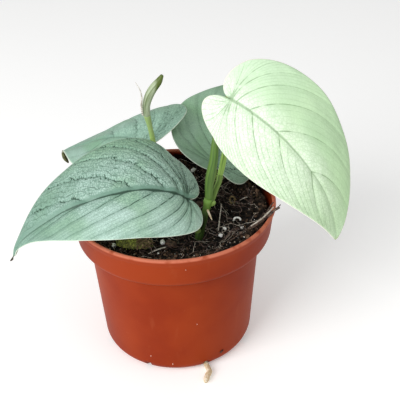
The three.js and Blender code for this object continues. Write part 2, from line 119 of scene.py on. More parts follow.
def wire(material, outputs):
    """Feeds sockets of the material's Principled shader from these outputs."""
    shader = material.node_tree.nodes["Principled BSDF"]
    for socket, output in outputs.items():
        material.node_tree.links.new(output, shader.inputs[socket])


def piece(name, mesh_parts, material, stands_for=None):
    """A smooth mesh piece from points in mm, faces and vector attributes by name. Its faces are turned
    outwards by the sign of the enclosed volume."""
    points, faces, attributes = (*mesh_parts, {})[:3]
    triangles = np.array([face[:3] for face in faces] + [[f[0], f[2], f[3]] for f in faces if len(f) == 4])
    corners = points[triangles]
    volume = np.einsum("ij,ij->", corners[:, 0], np.cross(corners[:, 1], corners[:, 2]))
    if volume < 0:
        faces = [face[::-1] for face in faces]
    mesh = bpy.data.meshes.new(name)
    mesh.from_pydata((points * MM).tolist(), [], faces)
    mesh.shade_smooth()
    mesh.materials.append(material)
    for key, values in attributes.items():
        mesh.attributes.new(key, "FLOAT_VECTOR", "POINT").data.foreach_set("vector", np.ravel(values))
    made = bpy.data.objects.new(name, mesh)
    bpy.context.collection.objects.link(made)
    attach(made, "root")
    if stands_for:
        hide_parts(*stands_for)
    return made


def ring_faces(rings, around):
    """Quads of a tube of rings: points k and k + 1 of one ring with the same two of the next."""
    first = np.arange(rings * around).reshape(rings, around)
    beside = np.roll(first, -1, axis=1)
    return np.stack([first[:-1], beside[:-1], beside[1:], first[1:]], axis=-1).reshape(-1, 4).tolist()


def fan_faces(pole, ring):
    """Triangles that close a ring of point numbers at its pole."""
    return np.stack([np.full(len(ring), pole), np.roll(ring, -1), ring], axis=-1).tolist()


def closed_faces(rings, around):
    """The faces of a tube of rings, closed at two poles, which are the two points after the rings."""
    count = rings * around
    faces = ring_faces(rings, around)
    faces += [face[::-1] for face in fan_faces(count, np.arange(around))]
    return faces + fan_faces(count + 1, np.arange(around) + count - around)


def distances(line):
    """How far along a line of points each of them is."""
    return np.concatenate([[0], np.cumsum(np.linalg.norm(np.diff(line, axis=0), axis=1))])


def arc(radius, height, size, start, end, steps):
    """Profile points on a circle about (radius, height), angles in degrees from the radial direction."""
    angle = np.radians(np.linspace(start, end, steps))
    return np.stack([radius + size * np.cos(angle), height + size * np.sin(angle)], axis=-1).tolist()


def resampled(profile, count):
    """The same outline with count points at even steps along it."""
    line = np.array(profile, float)
    run = distances(line)
    even = np.linspace(0, run[-1], count)
    return np.stack([np.interp(even, run, line[:, k]) for k in (0, 1)], axis=-1)


def pot_profiles():
    """Outer and inner outline from the base's pole to the top of the rim, as [radius, height] rows."""
    shoulder = POT_HEIGHT - COLLAR_HEIGHT
    corner = BODY_FOOT_RADIUS - FOOT_BEND
    collar = [COLLAR_FOOT_RADIUS - COLLAR_BEND, shoulder + 5.5]
    outer = [
        [0.5, 0],
        [12, 0],
        [12.4, 0.3],
        [13.2, 2.7],
        [13.6, 3],
        [34.4, 3],
        [34.9, 2.6],
        [35.7, 0.4],
        [36.3, 0],
        *arc(corner, FOOT_BEND, FOOT_BEND, -86, 0, 14),
        [BODY_TOP_RADIUS - 0.1, shoulder - 1.6],
        *arc(BODY_TOP_RADIUS + 1.5, shoulder - 1.2, 1.6, 180, 95, 6),
        [BODY_TOP_RADIUS + 3, shoulder + 0.9],
        *arc(*collar, COLLAR_BEND, -68, 0, 8),
        [RIM_RADIUS - 1.1, POT_HEIGHT - 4.6],
        [RIM_RADIUS - 0.5, POT_HEIGHT - 3.2],
        *arc(RIM_RADIUS - 1.1, POT_HEIGHT - 1.2, 1.2, -50, 90, 10),
    ]
    inner = [
        [0.5, WALL],
        [11.4, WALL],
        [12.4, 3 + WALL],
        [34.9, 3 + WALL],
        [36, WALL],
        *arc(corner, FOOT_BEND, FOOT_BEND - WALL, -84, 0, 14),
        [BODY_TOP_RADIUS - WALL, shoulder - 0.5],
        [BODY_TOP_RADIUS - WALL + 3, shoulder + 2.6],
        *arc(*collar, COLLAR_BEND - WALL, -40, 0, 6),
        [RIM_RADIUS - 2.2, POT_HEIGHT - 3],
        *arc(RIM_RADIUS - 1.3, POT_HEIGHT - 0.9, 0.9, 180, 100, 6),
    ]
    return outer, inner


def pot_mesh():
    """Both outlines turned about the axis as two grids with the same cells. The cells of each notch are
    left out of both grids, and a wall joins the two grids round every hole."""
    sector = 360 / NOTCH_COUNT
    half_notch = math.degrees(math.asin(NOTCH_WIDTH / 2 / BODY_FOOT_RADIUS))
    cells = [np.linspace(-half_notch, half_notch, 4), np.linspace(half_notch, sector - half_notch, 18)[1:-1]]
    in_sector = np.concatenate(cells)
    angles = np.radians(NOTCH_ANGLE + (in_sector + sector * np.arange(NOTCH_COUNT)[:, None]).ravel())
    in_notch = np.tile(np.arange(len(in_sector)) < 3, NOTCH_COUNT)
    rows = 150
    shells = [resampled(profile, rows) for profile in pot_profiles()]
    foot = np.abs(shells[0] - NOTCH_MIDDLE).max(axis=1) < NOTCH_REACH
    open_cell = foot[:-1, None] & foot[1:, None] & in_notch[None, :]
    radius, height = np.concatenate(shells)[:, :, None].transpose(1, 0, 2)
    points = np.stack([radius * np.cos(angles), radius * np.sin(angles), height + 0 * angles], axis=-1)
    points = np.concatenate([points.reshape(-1, 3), [[0, 0, 0], [0, 0, WALL]]])
    around = len(angles)
    outside = np.arange(rows * around).reshape(rows, around)
    inside = outside + rows * around
    out_next, in_next = np.roll(outside, -1, axis=1), np.roll(inside, -1, axis=1)
    before = np.roll(open_cell, 1, axis=1)
    edge = np.diff(np.pad(open_cell, ((1, 1), (0, 0))).astype(int), axis=0)
    quads = [
        np.stack([outside[:-1], out_next[:-1], out_next[1:], outside[1:]], axis=-1)[~open_cell],
        np.stack([inside[1:], in_next[1:], in_next[:-1], inside[:-1]], axis=-1)[~open_cell],
        np.stack([outside[-1], out_next[-1], in_next[-1], inside[-1]], axis=-1),
        np.stack([outside[:-1], inside[:-1], inside[1:], outside[1:]], axis=-1)[open_cell & ~before],
        np.stack([outside[:-1], outside[1:], inside[1:], inside[:-1]], axis=-1)[~open_cell & before],
        np.stack([outside, out_next, in_next, inside], axis=-1)[edge == 1],
        np.stack([outside, inside, in_next, out_next], axis=-1)[edge == -1],
    ]
    faces = np.concatenate(quads).tolist()
    faces += fan_faces(len(points) - 2, outside[0])
    faces += [face[::-1] for face in fan_faces(len(points) - 1, inside[0])]
    inner = np.zeros((len(points), 3))
    inner[rows * around : -2] = 1
    return points, faces, {"inner_wall": inner}


# Moulded polypropylene: a satin surface with a soft highlight, a faint uneven tint where the plastic cooled,
# rubbed dusty marks from handling, a painted highlight along the lip broken into patches, peat stain on the
# inner wall with painted shade that darkens it most at the back, and a painted shadow line under the collar's
# lower edge. On Mix nodes here, 0 is the share, 6 and 7 the two colours and 2 the result. On Map Range nodes,
# 1 and 2 are the limits and 3 and 4 what they turn into. Places are in metres.
BLEND = {"data_type": "RGBA"}
SMOOTH = {"interpolation_type": "SMOOTHSTEP"}
plastic_finish = {"Roughness": 0.45, "IOR": 1.49, "Specular IOR Level": 0.06}
plastic = finish_named("moulded terracotta polypropylene", plastic_finish)
place = node(plastic, "TexCoord", {})["Object"]
_, backwards, height = node(plastic, "SeparateXYZ", {0: place})
cloud = node(plastic, "TexNoise", {"Vector": place, "Scale": 22, "Detail": 3})["Fac"]
cooled = node(plastic, "MapRange", {0: cloud, 1: 0.35, 2: 0.65}, **SMOOTH)[0]
colour = node(plastic, "Mix", {0: cooled, 6: "#852c10", 7: "#923614"}, **BLEND)[2]
upright = node(plastic, "Mapping", {"Vector": place, "Scale": (143, 143, 43)})["Vector"]
streaks = node(plastic, "TexNoise", {"Vector": upright, "Scale": 1, "Detail": 6})["Fac"]
rubbed = node(plastic, "MapRange", {0: streaks, 1: 0.6, 2: 0.75, 4: 0.12}, **SMOOTH)[0]
grains = node(plastic, "TexNoise", {"Vector": place, "Scale": 770, "Detail": 2})["Fac"]
dust = node(plastic, "MapRange", {0: grains, 1: 0.74, 2: 0.8, 4: 0.5}, **SMOOTH)[0]
worn = node(plastic, "Math", {0: rubbed, 1: dust}, operation="MAXIMUM")[0]
# Painted highlight: the top of the lip is painted paler, broken into patches, for the light its rounded edge
# catches.
lip = node(plastic, "MapRange", {0: height, 1: 0.0928, 2: 0.0945, 4: 0.8}, **SMOOTH)[0]
patches = node(plastic, "TexNoise", {"Vector": place, "Scale": 167, "Detail": 3})["Fac"]
lip_highlight_patches = node(plastic, "MapRange", {0: patches, 1: 0.3, 2: 0.5, 3: 0.3}, **SMOOTH)[0]
painted_lip_highlight = node(plastic, "Math", {0: lip, 1: lip_highlight_patches}, operation="MULTIPLY")[0]
# Peat stain and painted shade on the inner wall below the rim: a quarter strength at the front, full at the
# back, where the wall lies in shade.
splashes = node(plastic, "TexNoise", {"Vector": place, "Scale": 200, "Detail": 5})["Fac"]
ragged = node(plastic, "Math", {0: splashes, 1: 0.005, 2: height}, operation="MULTIPLY_ADD")[0]
stain_and_shade_height = node(plastic, "MapRange", {0: ragged, 1: 0.0935, 2: 0.0965, 3: 1, 4: 0}, **SMOOTH)[0]
at_back = node(plastic, "MapRange", {0: backwards, 1: 0, 2: 0.02, 3: 0.25}, **SMOOTH)[0]
inner_wall = node(plastic, "Attribute", {}, attribute_name="inner_wall")["Fac"]
inside = node(plastic, "MapRange", {0: inner_wall, 1: 0.4, 2: 0.9}, **SMOOTH)[0]
peat_stain_and_shade = node(plastic, "Math", {0: stain_and_shade_height, 1: at_back}, operation="MULTIPLY")[0]
peat_stain_and_shade = node(plastic, "Math", {0: peat_stain_and_shade, 1: inside}, operation="MULTIPLY")[0]
# Painted shadow: a dark line just under the collar's lower edge, where the collar shades the body.
above_corner = node(plastic, "Math", {0: height, 1: 0.0742}, operation="SUBTRACT")[0]
from_corner = node(plastic, "Math", {0: above_corner}, operation="ABSOLUTE")[0]
painted_collar_shadow = node(plastic, "MapRange", {0: from_corner, 1: 0.0008, 2: 0.0026, 3: 0.7, 4: 0}, **SMOOTH)[0]
# Painted here: the highlight on the lip, the shade on the inner wall together with the peat stain, and the
# shadow under the collar.
for share, tone in ((worn, "#a9603f"), (painted_lip_highlight, "#d07c62"), (peat_stain_and_shade, "#130c09"), (painted_collar_shadow, "#4a1509")):
    colour = node(plastic, "Mix", {0: share, 6: colour, 7: tone}, **BLEND)[2]
flow = node(plastic, "TexNoise", {"Vector": place, "Scale": 400, "Detail": 3})["Fac"]
relief = node(plastic, "Bump", {"Strength": 0.1, "Distance": 0.0006, "Height": flow})["Normal"]
wire(plastic, {"Base Color": colour, "Normal": relief})

piece("nursery_pot", pot_mesh(), plastic, ["pot"])

# The soil
# Moist peat mix with some sand: nearly black, crumbly and full of hair-like dead roots. It fills the pot to
# just under the rim, banks up against the wall, and is loose lumps and crumbs on top.

SOIL_LEVEL = 85.5
SOIL_RADIUS = 55.4
SOIL_BASE = 5.4
LUMPS = ((1.0, 6, 1), (0.8, 2.5, 2), (0.35, 1.2, 3))  # half height and size in mm, seed


def eased(t):
    """3 t^2 - 2 t^3, which runs from 0 to 1 with level ends."""
    return t**2 * (3 - 2 * t)


def unevenness(x, y, size, seed):
    """Smooth random height from -1 to 1: seeded values on a lattice of cells size across, blended over each
    cell with eased weights."""
    lattice = np.random.default_rng(seed).uniform(-1, 1, (64, 64))
    u, v = np.asarray(x) / size + 1000, np.asarray(y) / size + 1000
    i, j = np.floor(u).astype(int), np.floor(v).astype(int)
    a, b = eased(u - i), eased(v - j)
    low = lattice[i % 64, j % 64] * (1 - a) + lattice[(i + 1) % 64, j % 64] * a
    high = lattice[i % 64, (j + 1) % 64] * (1 - a) + lattice[(i + 1) % 64, (j + 1) % 64] * a
    return low * (1 - b) + high * b


def cad_soil(x, y):
    """The height of the CAD soil, which the loose bits rest on: a gentle slope and a swell."""
    swell = 0.7 * np.sin(x / 9 + 1) * np.cos(y / 8) + 0.4 * np.sin((x + y) / 5)
    return SOIL_LEVEL - 0.03 * x - 0.03 * y + swell


def soil_height(x, y):
    """The CAD soil's height, a bank along the wall that is highest on the right, and lumps of three sizes."""
    radius = np.hypot(x, y) + 1e-6
    bank = eased(np.clip((radius - 42) / 13, 0, 1)) * (2.4 + 1.6 * x / radius)
    return cad_soil(x, y) + bank + sum(high * unevenness(x, y, size, seed) for high, size, seed in LUMPS)


def soil_mesh():
    """Rings from the middle of the top out to the wall, down it and in along the base: the top follows
    soil_height."""
    around = 320
    top = np.linspace(0.4, SOIL_RADIUS, 120)
    down = [[55.3, 84], [54.5, 78], [51.3, 76], [49.1, 73], [44.7, 9]]
    down += [[radius, SOIL_BASE] for radius in (43.6, 35.8, 20, 2)]
    angle = np.linspace(0, 2 * math.pi, around, endpoint=False)
    x, y = top[:, None] * np.cos(angle), top[:, None] * np.sin(angle)
    low = [np.stack([r * np.cos(angle), r * np.sin(angle), z + 0 * angle], axis=-1) for r, z in down]
    rings = np.concatenate([np.stack([x, y, soil_height(x, y)], axis=-1), low])
    points = np.concatenate([rings.reshape(-1, 3), [[0, 0, soil_height(0, 0)], [0, 0, SOIL_BASE]]])
    return points, closed_faces(len(rings), around)


# Peat: fibrous black-brown organic matter that shines a little where it is wet.
peat = finish_named("moist peat mix", {"Roughness": 0.7, "Specular IOR Level": 0.15})
place = node(peat, "TexCoord", {})["Object"]
cloud = node(peat, "TexNoise", {"Vector": place, "Scale": 556, "Detail": 6})["Fac"]
drier = node(peat, "MapRange", {0: cloud, 1: 0.45, 2: 0.72}, **SMOOTH)[0]
colour = node(peat, "Mix", {0: drier, 6: "#090706", 7: "#2b2019"}, **BLEND)[2]
grit = node(peat, "TexNoise", {"Vector": place, "Scale": 1111, "Detail": 5})["Fac"]
relief = node(peat, "Bump", {"Strength": 1, "Distance": 0.0008, "Height": grit})["Normal"]
wire(peat, {"Base Color": colour, "Normal": relief})

piece("peat_bed", soil_mesh(), peat, ["soil"])

GOLDEN = (1 + math.sqrt(5)) / 2
CORNERS = [np.roll([0, a, b * GOLDEN], turn) for turn in range(3) for a in (-1, 1) for b in (-1, 1)]
ICOSAHEDRON = np.array(CORNERS) / math.hypot(1, GOLDEN)


def spread(count, seed, reach=SOIL_RADIUS * 0.985):
    """Seeded random places (x, y) with the same density all over a disc."""
    rng = np.random.default_rng(seed)
    radius, bearing = reach * np.sqrt(rng.uniform(0, 1, count)), rng.uniform(0, 2 * math.pi, count)
    return np.stack([radius * np.cos(bearing), radius * np.sin(bearing)], axis=-1)


def crumbs(places, sizes, seed, stretch=(1, 1, 1)):
    """Lumps at places (x, y, z): an icosahedron whose corners are pushed in or out by up to a third,
    stretched, squashed at random, tilted a little and turned about Z. Small sizes are the most common. Its
    faces are the triples of corners that lie next to each other."""
    rng = np.random.default_rng(seed)
    count = len(places)
    size = sizes[0] + (sizes[1] - sizes[0]) * rng.uniform(0, 1, count) ** 3
    shape = ICOSAHEDRON * rng.uniform(0.67, 1.33, (count, 12, 1))
    shape = shape * rng.uniform(0.6, 1.2, (count, 1, 3)) * stretch
    turn, tilt = rng.uniform(0, 2 * math.pi, (count, 1)), rng.uniform(-0.8, 0.8, (count, 1))
    x = shape[..., 0] * np.cos(tilt) + shape[..., 2] * np.sin(tilt)
    z = shape[..., 2] * np.cos(tilt) - shape[..., 0] * np.sin(tilt)
    y = shape[..., 1]
    turned = np.stack([x * np.cos(turn) - y * np.sin(turn), x * np.sin(turn) + y * np.cos(turn), z], axis=-1)
    points = turned * size[:, None, None] + places[:, None]
    near = np.linalg.norm(ICOSAHEDRON[:, None] - ICOSAHEDRON[None], axis=-1) < 1.1
    near &= ~np.eye(12, dtype=bool)
    a, b, c = np.nonzero(near[:, :, None] & near[None] & near[:, None])
    triples = np.stack([a, b, c], axis=-1)[(a < b) & (a < c)]
    solid = triples[np.linalg.det(ICOSAHEDRON[triples]) > 0]
    faces = (solid[None] + 12 * np.arange(count)[:, None, None]).reshape(-1, 3)
    return points.reshape(-1, 3), faces.tolist()


def on_soil(places, rise=0.3):
    """Places (x, y) with the height of the soil there plus rise."""
    return np.column_stack([places, soil_height(places[:, 0], places[:, 1]) + rise])


def two_tone(name, dark, light, size, values, relief=0.0003):
    """A matt material that is mottled between two colours in patches of size mm, with bump of that size."""
    material = finish_named(name, values)
    place = node(material, "TexCoord", {})["Object"]
    cloud = node(material, "TexNoise", {"Vector": place, "Scale": 1 / (size * MM), "Detail": 4})["Fac"]
    share = node(material, "MapRange", {0: cloud, 1: 0.38, 2: 0.62}, **SMOOTH)[0]
    colour = node(material, "Mix", {0: share, 6: dark, 7: light}, **BLEND)[2]
    bump = node(material, "Bump", {"Strength": 0.7, "Distance": relief, "Height": cloud})["Normal"]
    wire(material, {"Base Color": colour, "Normal": bump})
    return material


# Crumbs of peat, dry bark dust and sharp sand: matt, in brown tones that get paler as they dry.
MATT = {"Roughness": 0.8, "Specular IOR Level": 0.15}
for crumb_name, dark, light, count, sizes, seed in (
    ("damp_crumbs", "#130f0c", "#372a21", 1500, (0.4, 2.0), 11),
    ("brown_crumbs", "#433226", "#6d5646", 800, (0.3, 1.5), 12),
    ("tan_crumbs", "#927e6c", "#c4b4a2", 300, (0.2, 0.75), 13),
    ("sand_grains", "#d9d3c9", "#ffffff", 240, (0.15, 0.5), 14),
):
    crumb_stuff = two_tone(crumb_name.replace("_", " "), dark, light, 2, MATT)
    crumb_mesh = crumbs(on_soil(spread(count, seed)), sizes, seed)
    piece(crumb_name, crumb_mesh, crumb_stuff).data.shade_flat()


FIBRE_REACH = 54.5  # fibres stop at the pot's wall


def threads(count, seed, long, thick, lift, reach=53):
    """Thin curly threads on the soil: each heading drifts at random on the way, and the thread rises by up
    to lift and comes down again. Each is a five-sided tube with closed ends."""
    rng = np.random.default_rng(seed)
    steps, sides = 14, 5
    start = spread(count, seed + 100, reach)
    heading = rng.uniform(0, 2 * math.pi, (count, 1))
    heading = heading + np.cumsum(rng.normal(0, 0.33, (count, steps)), axis=1)
    pace = (rng.uniform(*long, count) / steps)[:, None]
    x = start[:, :1] + np.cumsum(np.cos(heading), axis=1) * pace
    y = start[:, 1:] + np.cumsum(np.sin(heading), axis=1) * pace
    inward = np.minimum(1, FIBRE_REACH / np.hypot(x, y))
    x, y = x * inward, y * inward
    hump = np.sin(math.pi * np.linspace(0, 1, steps))[None] * rng.uniform(0.1, 1, (count, 1)) * lift
    line = np.stack([x, y, soil_height(x, y) + 0.3 + hump], axis=-1)
    thinner = 1 - 0.5 * np.linspace(0, 1, steps)[None]
    radius = (rng.uniform(*thick, (count, 1)) * thinner)[..., None, None]
    turn = np.linspace(0, 2 * math.pi, sides, endpoint=False)[None, None, :, None]
    aside = np.stack([-np.sin(heading), np.cos(heading), 0 * heading], axis=-1)[:, :, None]
    points = line[:, :, None] + radius * (aside * np.cos(turn) + np.array([0, 0, 1]) * np.sin(turn))
    one = np.array(ring_faces(steps, sides))
    faces = (one[None] + steps * sides * np.arange(count)[:, None, None]).reshape(-1, 4).tolist()
    ends = np.array([np.arange(sides)[::-1], np.arange(sides) + (steps - 1) * sides])
    faces += (ends[None] + steps * sides * np.arange(count)[:, None, None]).reshape(-1, sides).tolist()
    return points.reshape(-1, 3), faces


# Four dry specks and two small dark lumps sit on the pot's outside: bearing in degrees, radius, height.
SPECKS = [[-111.9, 46.5, 12.3], [-95.7, 46.2, 7.5], [-77.5, 48.4, 39.1], [-85.1, 58.8, 87.8]]
DARK_LUMPS = [[-56.9, 46.5, 9.6], [-57.9, 46.5, 9.2]]
for stuck_name, marks, dark, light, sizes in (
    ("specks_on_pot", SPECKS, "#e0b8a4", "#f6ddd0", (0.3, 0.5)),
    ("dark_lumps_on_pot", DARK_LUMPS, "#2a140d", "#4a2418", (0.8, 1.1)),
):
    bearing, radius, up = np.array(marks).T
    bearing = np.radians(bearing)
    at = np.stack([radius * np.cos(bearing), radius * np.sin(bearing), up], axis=-1)
    stuck = two_tone(stuck_name.replace("_", " "), dark, light, 2, {"Roughness": 0.8})
    piece(stuck_name, crumbs(at, sizes, 15), stuck).data.shade_flat()

# Dead roots and peat fibres: hair-thin, matt, from dark brown to straw.
for thread_name, dark, light, count, thick, seed in (
    ("dark_fibres", "#3a2b27", "#715a52", 210, (0.12, 0.32), 21),
    ("tan_fibres", "#a09286", "#d3c8bc", 130, (0.08, 0.18), 22),
):
    thread_stuff = two_tone(thread_name.replace("_", " "), dark, light, 3, {"Roughness": 0.75})
    piece(thread_name, threads(count, seed, (6, 24), thick, 2.2), thread_stuff)


def lump(place, half, heading, blocky, rough, seed, rows=26, around=36):
    """A closed stone-like lump: an ellipsoid of these half sizes. Its sines and cosines are raised to the
    power blocky (1 round, less is boxier), it is pushed in and out by the share rough, and turned about Z."""
    lean = np.linspace(-90, 90, rows + 2)[1:-1, None] * math.pi / 180
    turn = np.linspace(0, 2 * math.pi, around, endpoint=False)[None]
    girth = np.cos(lean)
    sphere = np.stack([girth * np.cos(turn), girth * np.sin(turn), np.sin(lean) + 0 * turn], axis=-1)
    sphere = np.concatenate([sphere.reshape(-1, 3), [[0, 0, -1], [0, 0, 1]]])
    x, y, z = sphere.T
    bumps = unevenness(3 * x + 2 * z, 3 * y - 2 * z, 1.3, seed)
    fine = unevenness(9 * x + 5 * z, 9 * y - 5 * z, 1.3, seed + 1)
    swell = 1 + rough * bumps + 0.4 * rough * fine
    shape = np.sign(sphere) * np.abs(sphere) ** blocky * half * swell[:, None]
    c, s = math.cos(math.radians(heading)), math.sin(math.radians(heading))
    points = shape @ np.array([[c, s, 0], [-s, c, 0], [0, 0, 1]]) + place
    return points, closed_faces(rows, around)


# Perlite: popped volcanic glass, white, matt and rough like a broken crust.
perlite = two_tone("popped perlite", "#efede8", "#ffffff", 0.8, {"Roughness": 0.85})
# The sixth piece is a curled flake, made with the loose sticks. Each row: radius, x, y.
PERLITE = {
    1: [1.4, -34.2, -35],
    2: [0.8, -9.2, -44],
    3: [1, 28.5, -21.5],
    4: [1, 25.8, -27.6],
    5: [0.8, 38.7, -19.7],
    7: [1.2, -6.9, -32.2],
    8: [1.6, -40, 28],
    9: [1.3, -20, 44],
    10: [1.5, 14, 47],
}
for number, (radius, x, y) in PERLITE.items():
    place = [x, y, cad_soil(x, y) + 0.75 * radius + 0.35]
    half = np.array([1.15, 0.95, 0.85]) * radius
    grain = lump(place, half, 40 * number, 0.8, 0.25, 30 + number)
    piece(f"perlite_grain_{number}", grain, perlite, [f"perlite_{number}"])

# Bark chips: flat splinters of composted pine bark, dark brown and dull, with a layered edge.
bark = two_tone("composted pine bark", "#2a1c14", "#5a4130", 1.5, {"Roughness": 0.8}, 0.0005)
# The third piece is a seed husk, made with the loose sticks. Each row: x, y, three half sizes, heading.
CHIPS = {1: [-2.3, -34.5, 3, 2.2, 1.1, -25], 2: [15.6, 6, 3.4, 2.4, 1.1, 30], 4: [-34, 4, 4, 2.6, 1.2, 15]}
for number, (x, y, long, wide, high, heading) in CHIPS.items():
    place = [x, y, cad_soil(x, y) + high + 0.65]
    chip = lump(place, [long, wide, high], heading, 0.7, 0.22, 50 + number)
    piece(f"bark_splinter_{number}", chip, bark, [f"bark_chip_{number}"])

# Moss: a low cushion of fine upright leafy shoots, olive to yellow-green, brown where it is dry.
moss_bed = two_tone("moss cushion base", "#43431f", "#73723a", 1.6, {"Roughness": 0.9}, 0.0006)
moss_tips = two_tone("moss shoots", "#5f6b2d", "#aab151", 2.2, {"Roughness": 0.8})
MOSS_PLACE = np.array([-22.2, -35.6, cad_soil(-22.2, -35.6) + 1.8 + 0.65])
MOSS_HALF = np.array([9.8, 4.4, 1.8])
cushion = lump(MOSS_PLACE, MOSS_HALF, -7, 0.85, 0.2, 61)
piece("moss_base", cushion, moss_bed, ["moss_cushion"])
SHOOT_COUNT = 900
DRY_SIDE = -21  # x from which the moss is dry
crown = cushion[0][cushion[0][:, 2] > MOSS_PLACE[2] - 0.3]
tuft_places = crown[np.random.default_rng(62).integers(0, len(crown), SHOOT_COUNT)]
tuft_places = tuft_places + np.random.default_rng(63).normal(0, 0.3, (SHOOT_COUNT, 3))
dead_moss = two_tone("dry brown moss", "#5e4634", "#a58a6c", 1.5, {"Roughness": 0.85})
for shoots_name, kept, stuff in (
    ("moss_shoots", tuft_places[:, 0] < DRY_SIDE, moss_tips),
    ("dry_moss_shoots", tuft_places[:, 0] >= DRY_SIDE, dead_moss),
):
    shoots = crumbs(tuft_places[kept], (0.3, 0.75), 64, (0.45, 0.45, 1.3))
    piece(shoots_name, shoots, stuff).data.shade_flat()

# The stems, petioles and shoots
# Green, water-filled stalks. Each grows from the ring-shaped node below it. A petiole's foot is a sheath
# that wrapped the next leaf, and a new leaf comes up rolled tight like a cigar.


def smooth_route(route, steps):
    """Points on a curve through a route of (x, y, z, radius) rows: Hermite cubics over the length of the
    chords, with the slope at each point taken from its two neighbours. The radius runs the same way."""
    rows = np.array(route, float)
    run = distances(rows[:, :3])
    slope = np.gradient(rows, run, axis=0)
    wanted = np.linspace(0, run[-1], steps)
    cell = np.clip(np.searchsorted(run, wanted, side="right") - 1, 0, len(rows) - 2)
    long = (run[cell + 1] - run[cell])[:, None]
    t = (wanted - run[cell])[:, None] / long
    start = (2 * t**3 - 3 * t**2 + 1) * rows[cell] + (t**3 - 2 * t**2 + t) * long * slope[cell]
    end = (3 * t**2 - 2 * t**3) * rows[cell + 1] + (t**3 - t**2) * long * slope[cell + 1]
    return start + end


def stalk(route, sides=32, steps=90, ridge=None, reference=(1, 0, 0)):
    """A closed stalk: circles square to a smooth route, whose radius is multiplied by ridge(along, around),
    with along from 0 to 1 and around from 0 to 2 pi. Three smaller rings and a pole round each end. The
    attribute stalk_place holds a circle's place on a 2 mm cylinder and the way along the stalk, in mm."""
    line = smooth_route(route, steps)
    along = np.gradient(line[:, :3], axis=0)
    along /= np.linalg.norm(along, axis=1)[:, None]
    across = np.array(reference) - along * (along @ np.array(reference))[:, None]
    across /= np.linalg.norm(across, axis=1)[:, None]
    beyond = np.cross(along, across)
    turn = np.linspace(0, 2 * math.pi, sides, endpoint=False)
    radius = line[:, 3:4] * np.ones(sides)
    if ridge:
        radius = radius * ridge(np.linspace(0, 1, steps)[:, None], turn[None, :])
    circle = across[:, None] * np.cos(turn)[:, None] + beyond[:, None] * np.sin(turn)[:, None]
    rings = line[:, None, :3] + circle * radius[..., None]
    lean = np.array([0.4, 0.8, 1.2])[:, None, None]
    depth = 0.35 * line[[0, -1], 3]
    heads = []
    for end, outwards in ((0, -1), (-1, 1)):
        head = line[end, :3] + circle[end] * radius[end][:, None] * np.cos(lean)
        heads.append(head + outwards * depth[end] * along[end] * np.sin(lean))
    rings = np.concatenate([heads[0][::-1], rings, heads[1]])
    poles = line[[0, -1], :3] + np.array([[-1], [1]]) * depth[:, None] * along[[0, -1]]
    points = np.concatenate([rings.reshape(-1, 3), poles])
    run = distances(rings.mean(axis=1))[:, None] + 0 * turn
    places = np.stack([2 * np.cos(turn) + 0 * run, 2 * np.sin(turn) + 0 * run, run], axis=-1)
    places = np.concatenate([places.reshape(-1, 3), [[0, 0, 0], [0, 0, run[-1, 0]]]])
    return points, closed_faces(len(rings), sides), {"stalk_place": places}


def green_stalk(name, dark, light, top=None, from_run=0, to_run=1, slant=0.0):
    """A living stalk's skin: soft lengthwise streaks between two greens, turning to the colour top between
    two distances along the stalk in mm. With a slant, it turns sooner on the stalk's +X side. The skin is
    smooth, waxy and a little glossy."""
    skin = finish_named(name, {"Roughness": 0.42, "IOR": 1.42, "Specular IOR Level": 0.35})
    place = node(skin, "Attribute", {}, attribute_name="stalk_place")["Vector"]
    long_way = node(skin, "Mapping", {"Vector": place, "Scale": (1, 1, 0.05)})["Vector"]
    streaks = node(skin, "TexNoise", {"Vector": long_way, "Scale": 1.1, "Detail": 2})["Fac"]
    streak = node(skin, "MapRange", {0: streaks, 1: 0.35, 2: 0.65}, **SMOOTH)[0]
    colour = node(skin, "Mix", {0: streak, 6: dark, 7: light}, **BLEND)[2]
    spotted = node(skin, "Mapping", {"Vector": place, "Scale": (1, 1, 0.3)})["Vector"]
    cloud = node(skin, "TexNoise", {"Vector": spotted, "Scale": 0.2, "Detail": 2})["Fac"]
    paler = node(skin, "MapRange", {0: cloud, 1: 0.35, 2: 0.65, 4: 0.6}, **SMOOTH)[0]
    colour = node(skin, "Mix", {0: paler, 6: colour, 7: light}, **BLEND)[2]
    if top:
        aside, _, way = node(skin, "SeparateXYZ", {0: place})
        way = node(skin, "Math", {0: aside, 1: slant, 2: way}, operation="MULTIPLY_ADD")[0]
        share = node(skin, "MapRange", {0: way, 1: from_run, 2: to_run}, **SMOOTH)[0]
        colour = node(skin, "Mix", {0: share, 6: colour, 7: top}, **BLEND)[2]
    ribs = node(skin, "TexNoise", {"Vector": long_way, "Scale": 1.4, "Detail": 2})["Fac"]
    relief = node(skin, "Bump", {"Strength": 0.2, "Distance": 0.0002, "Height": ribs})["Normal"]
    wire(skin, {"Base Color": colour, "Normal": relief})
    return skin


def node_rings(*places):
    """A ridge that swells by 12% at these shares of the stalk's length, for the rings where leaves grew."""
    return lambda along, around: 1 + sum(0.12 * np.exp(-(((along - at) / 0.012) ** 2)) for at in places)


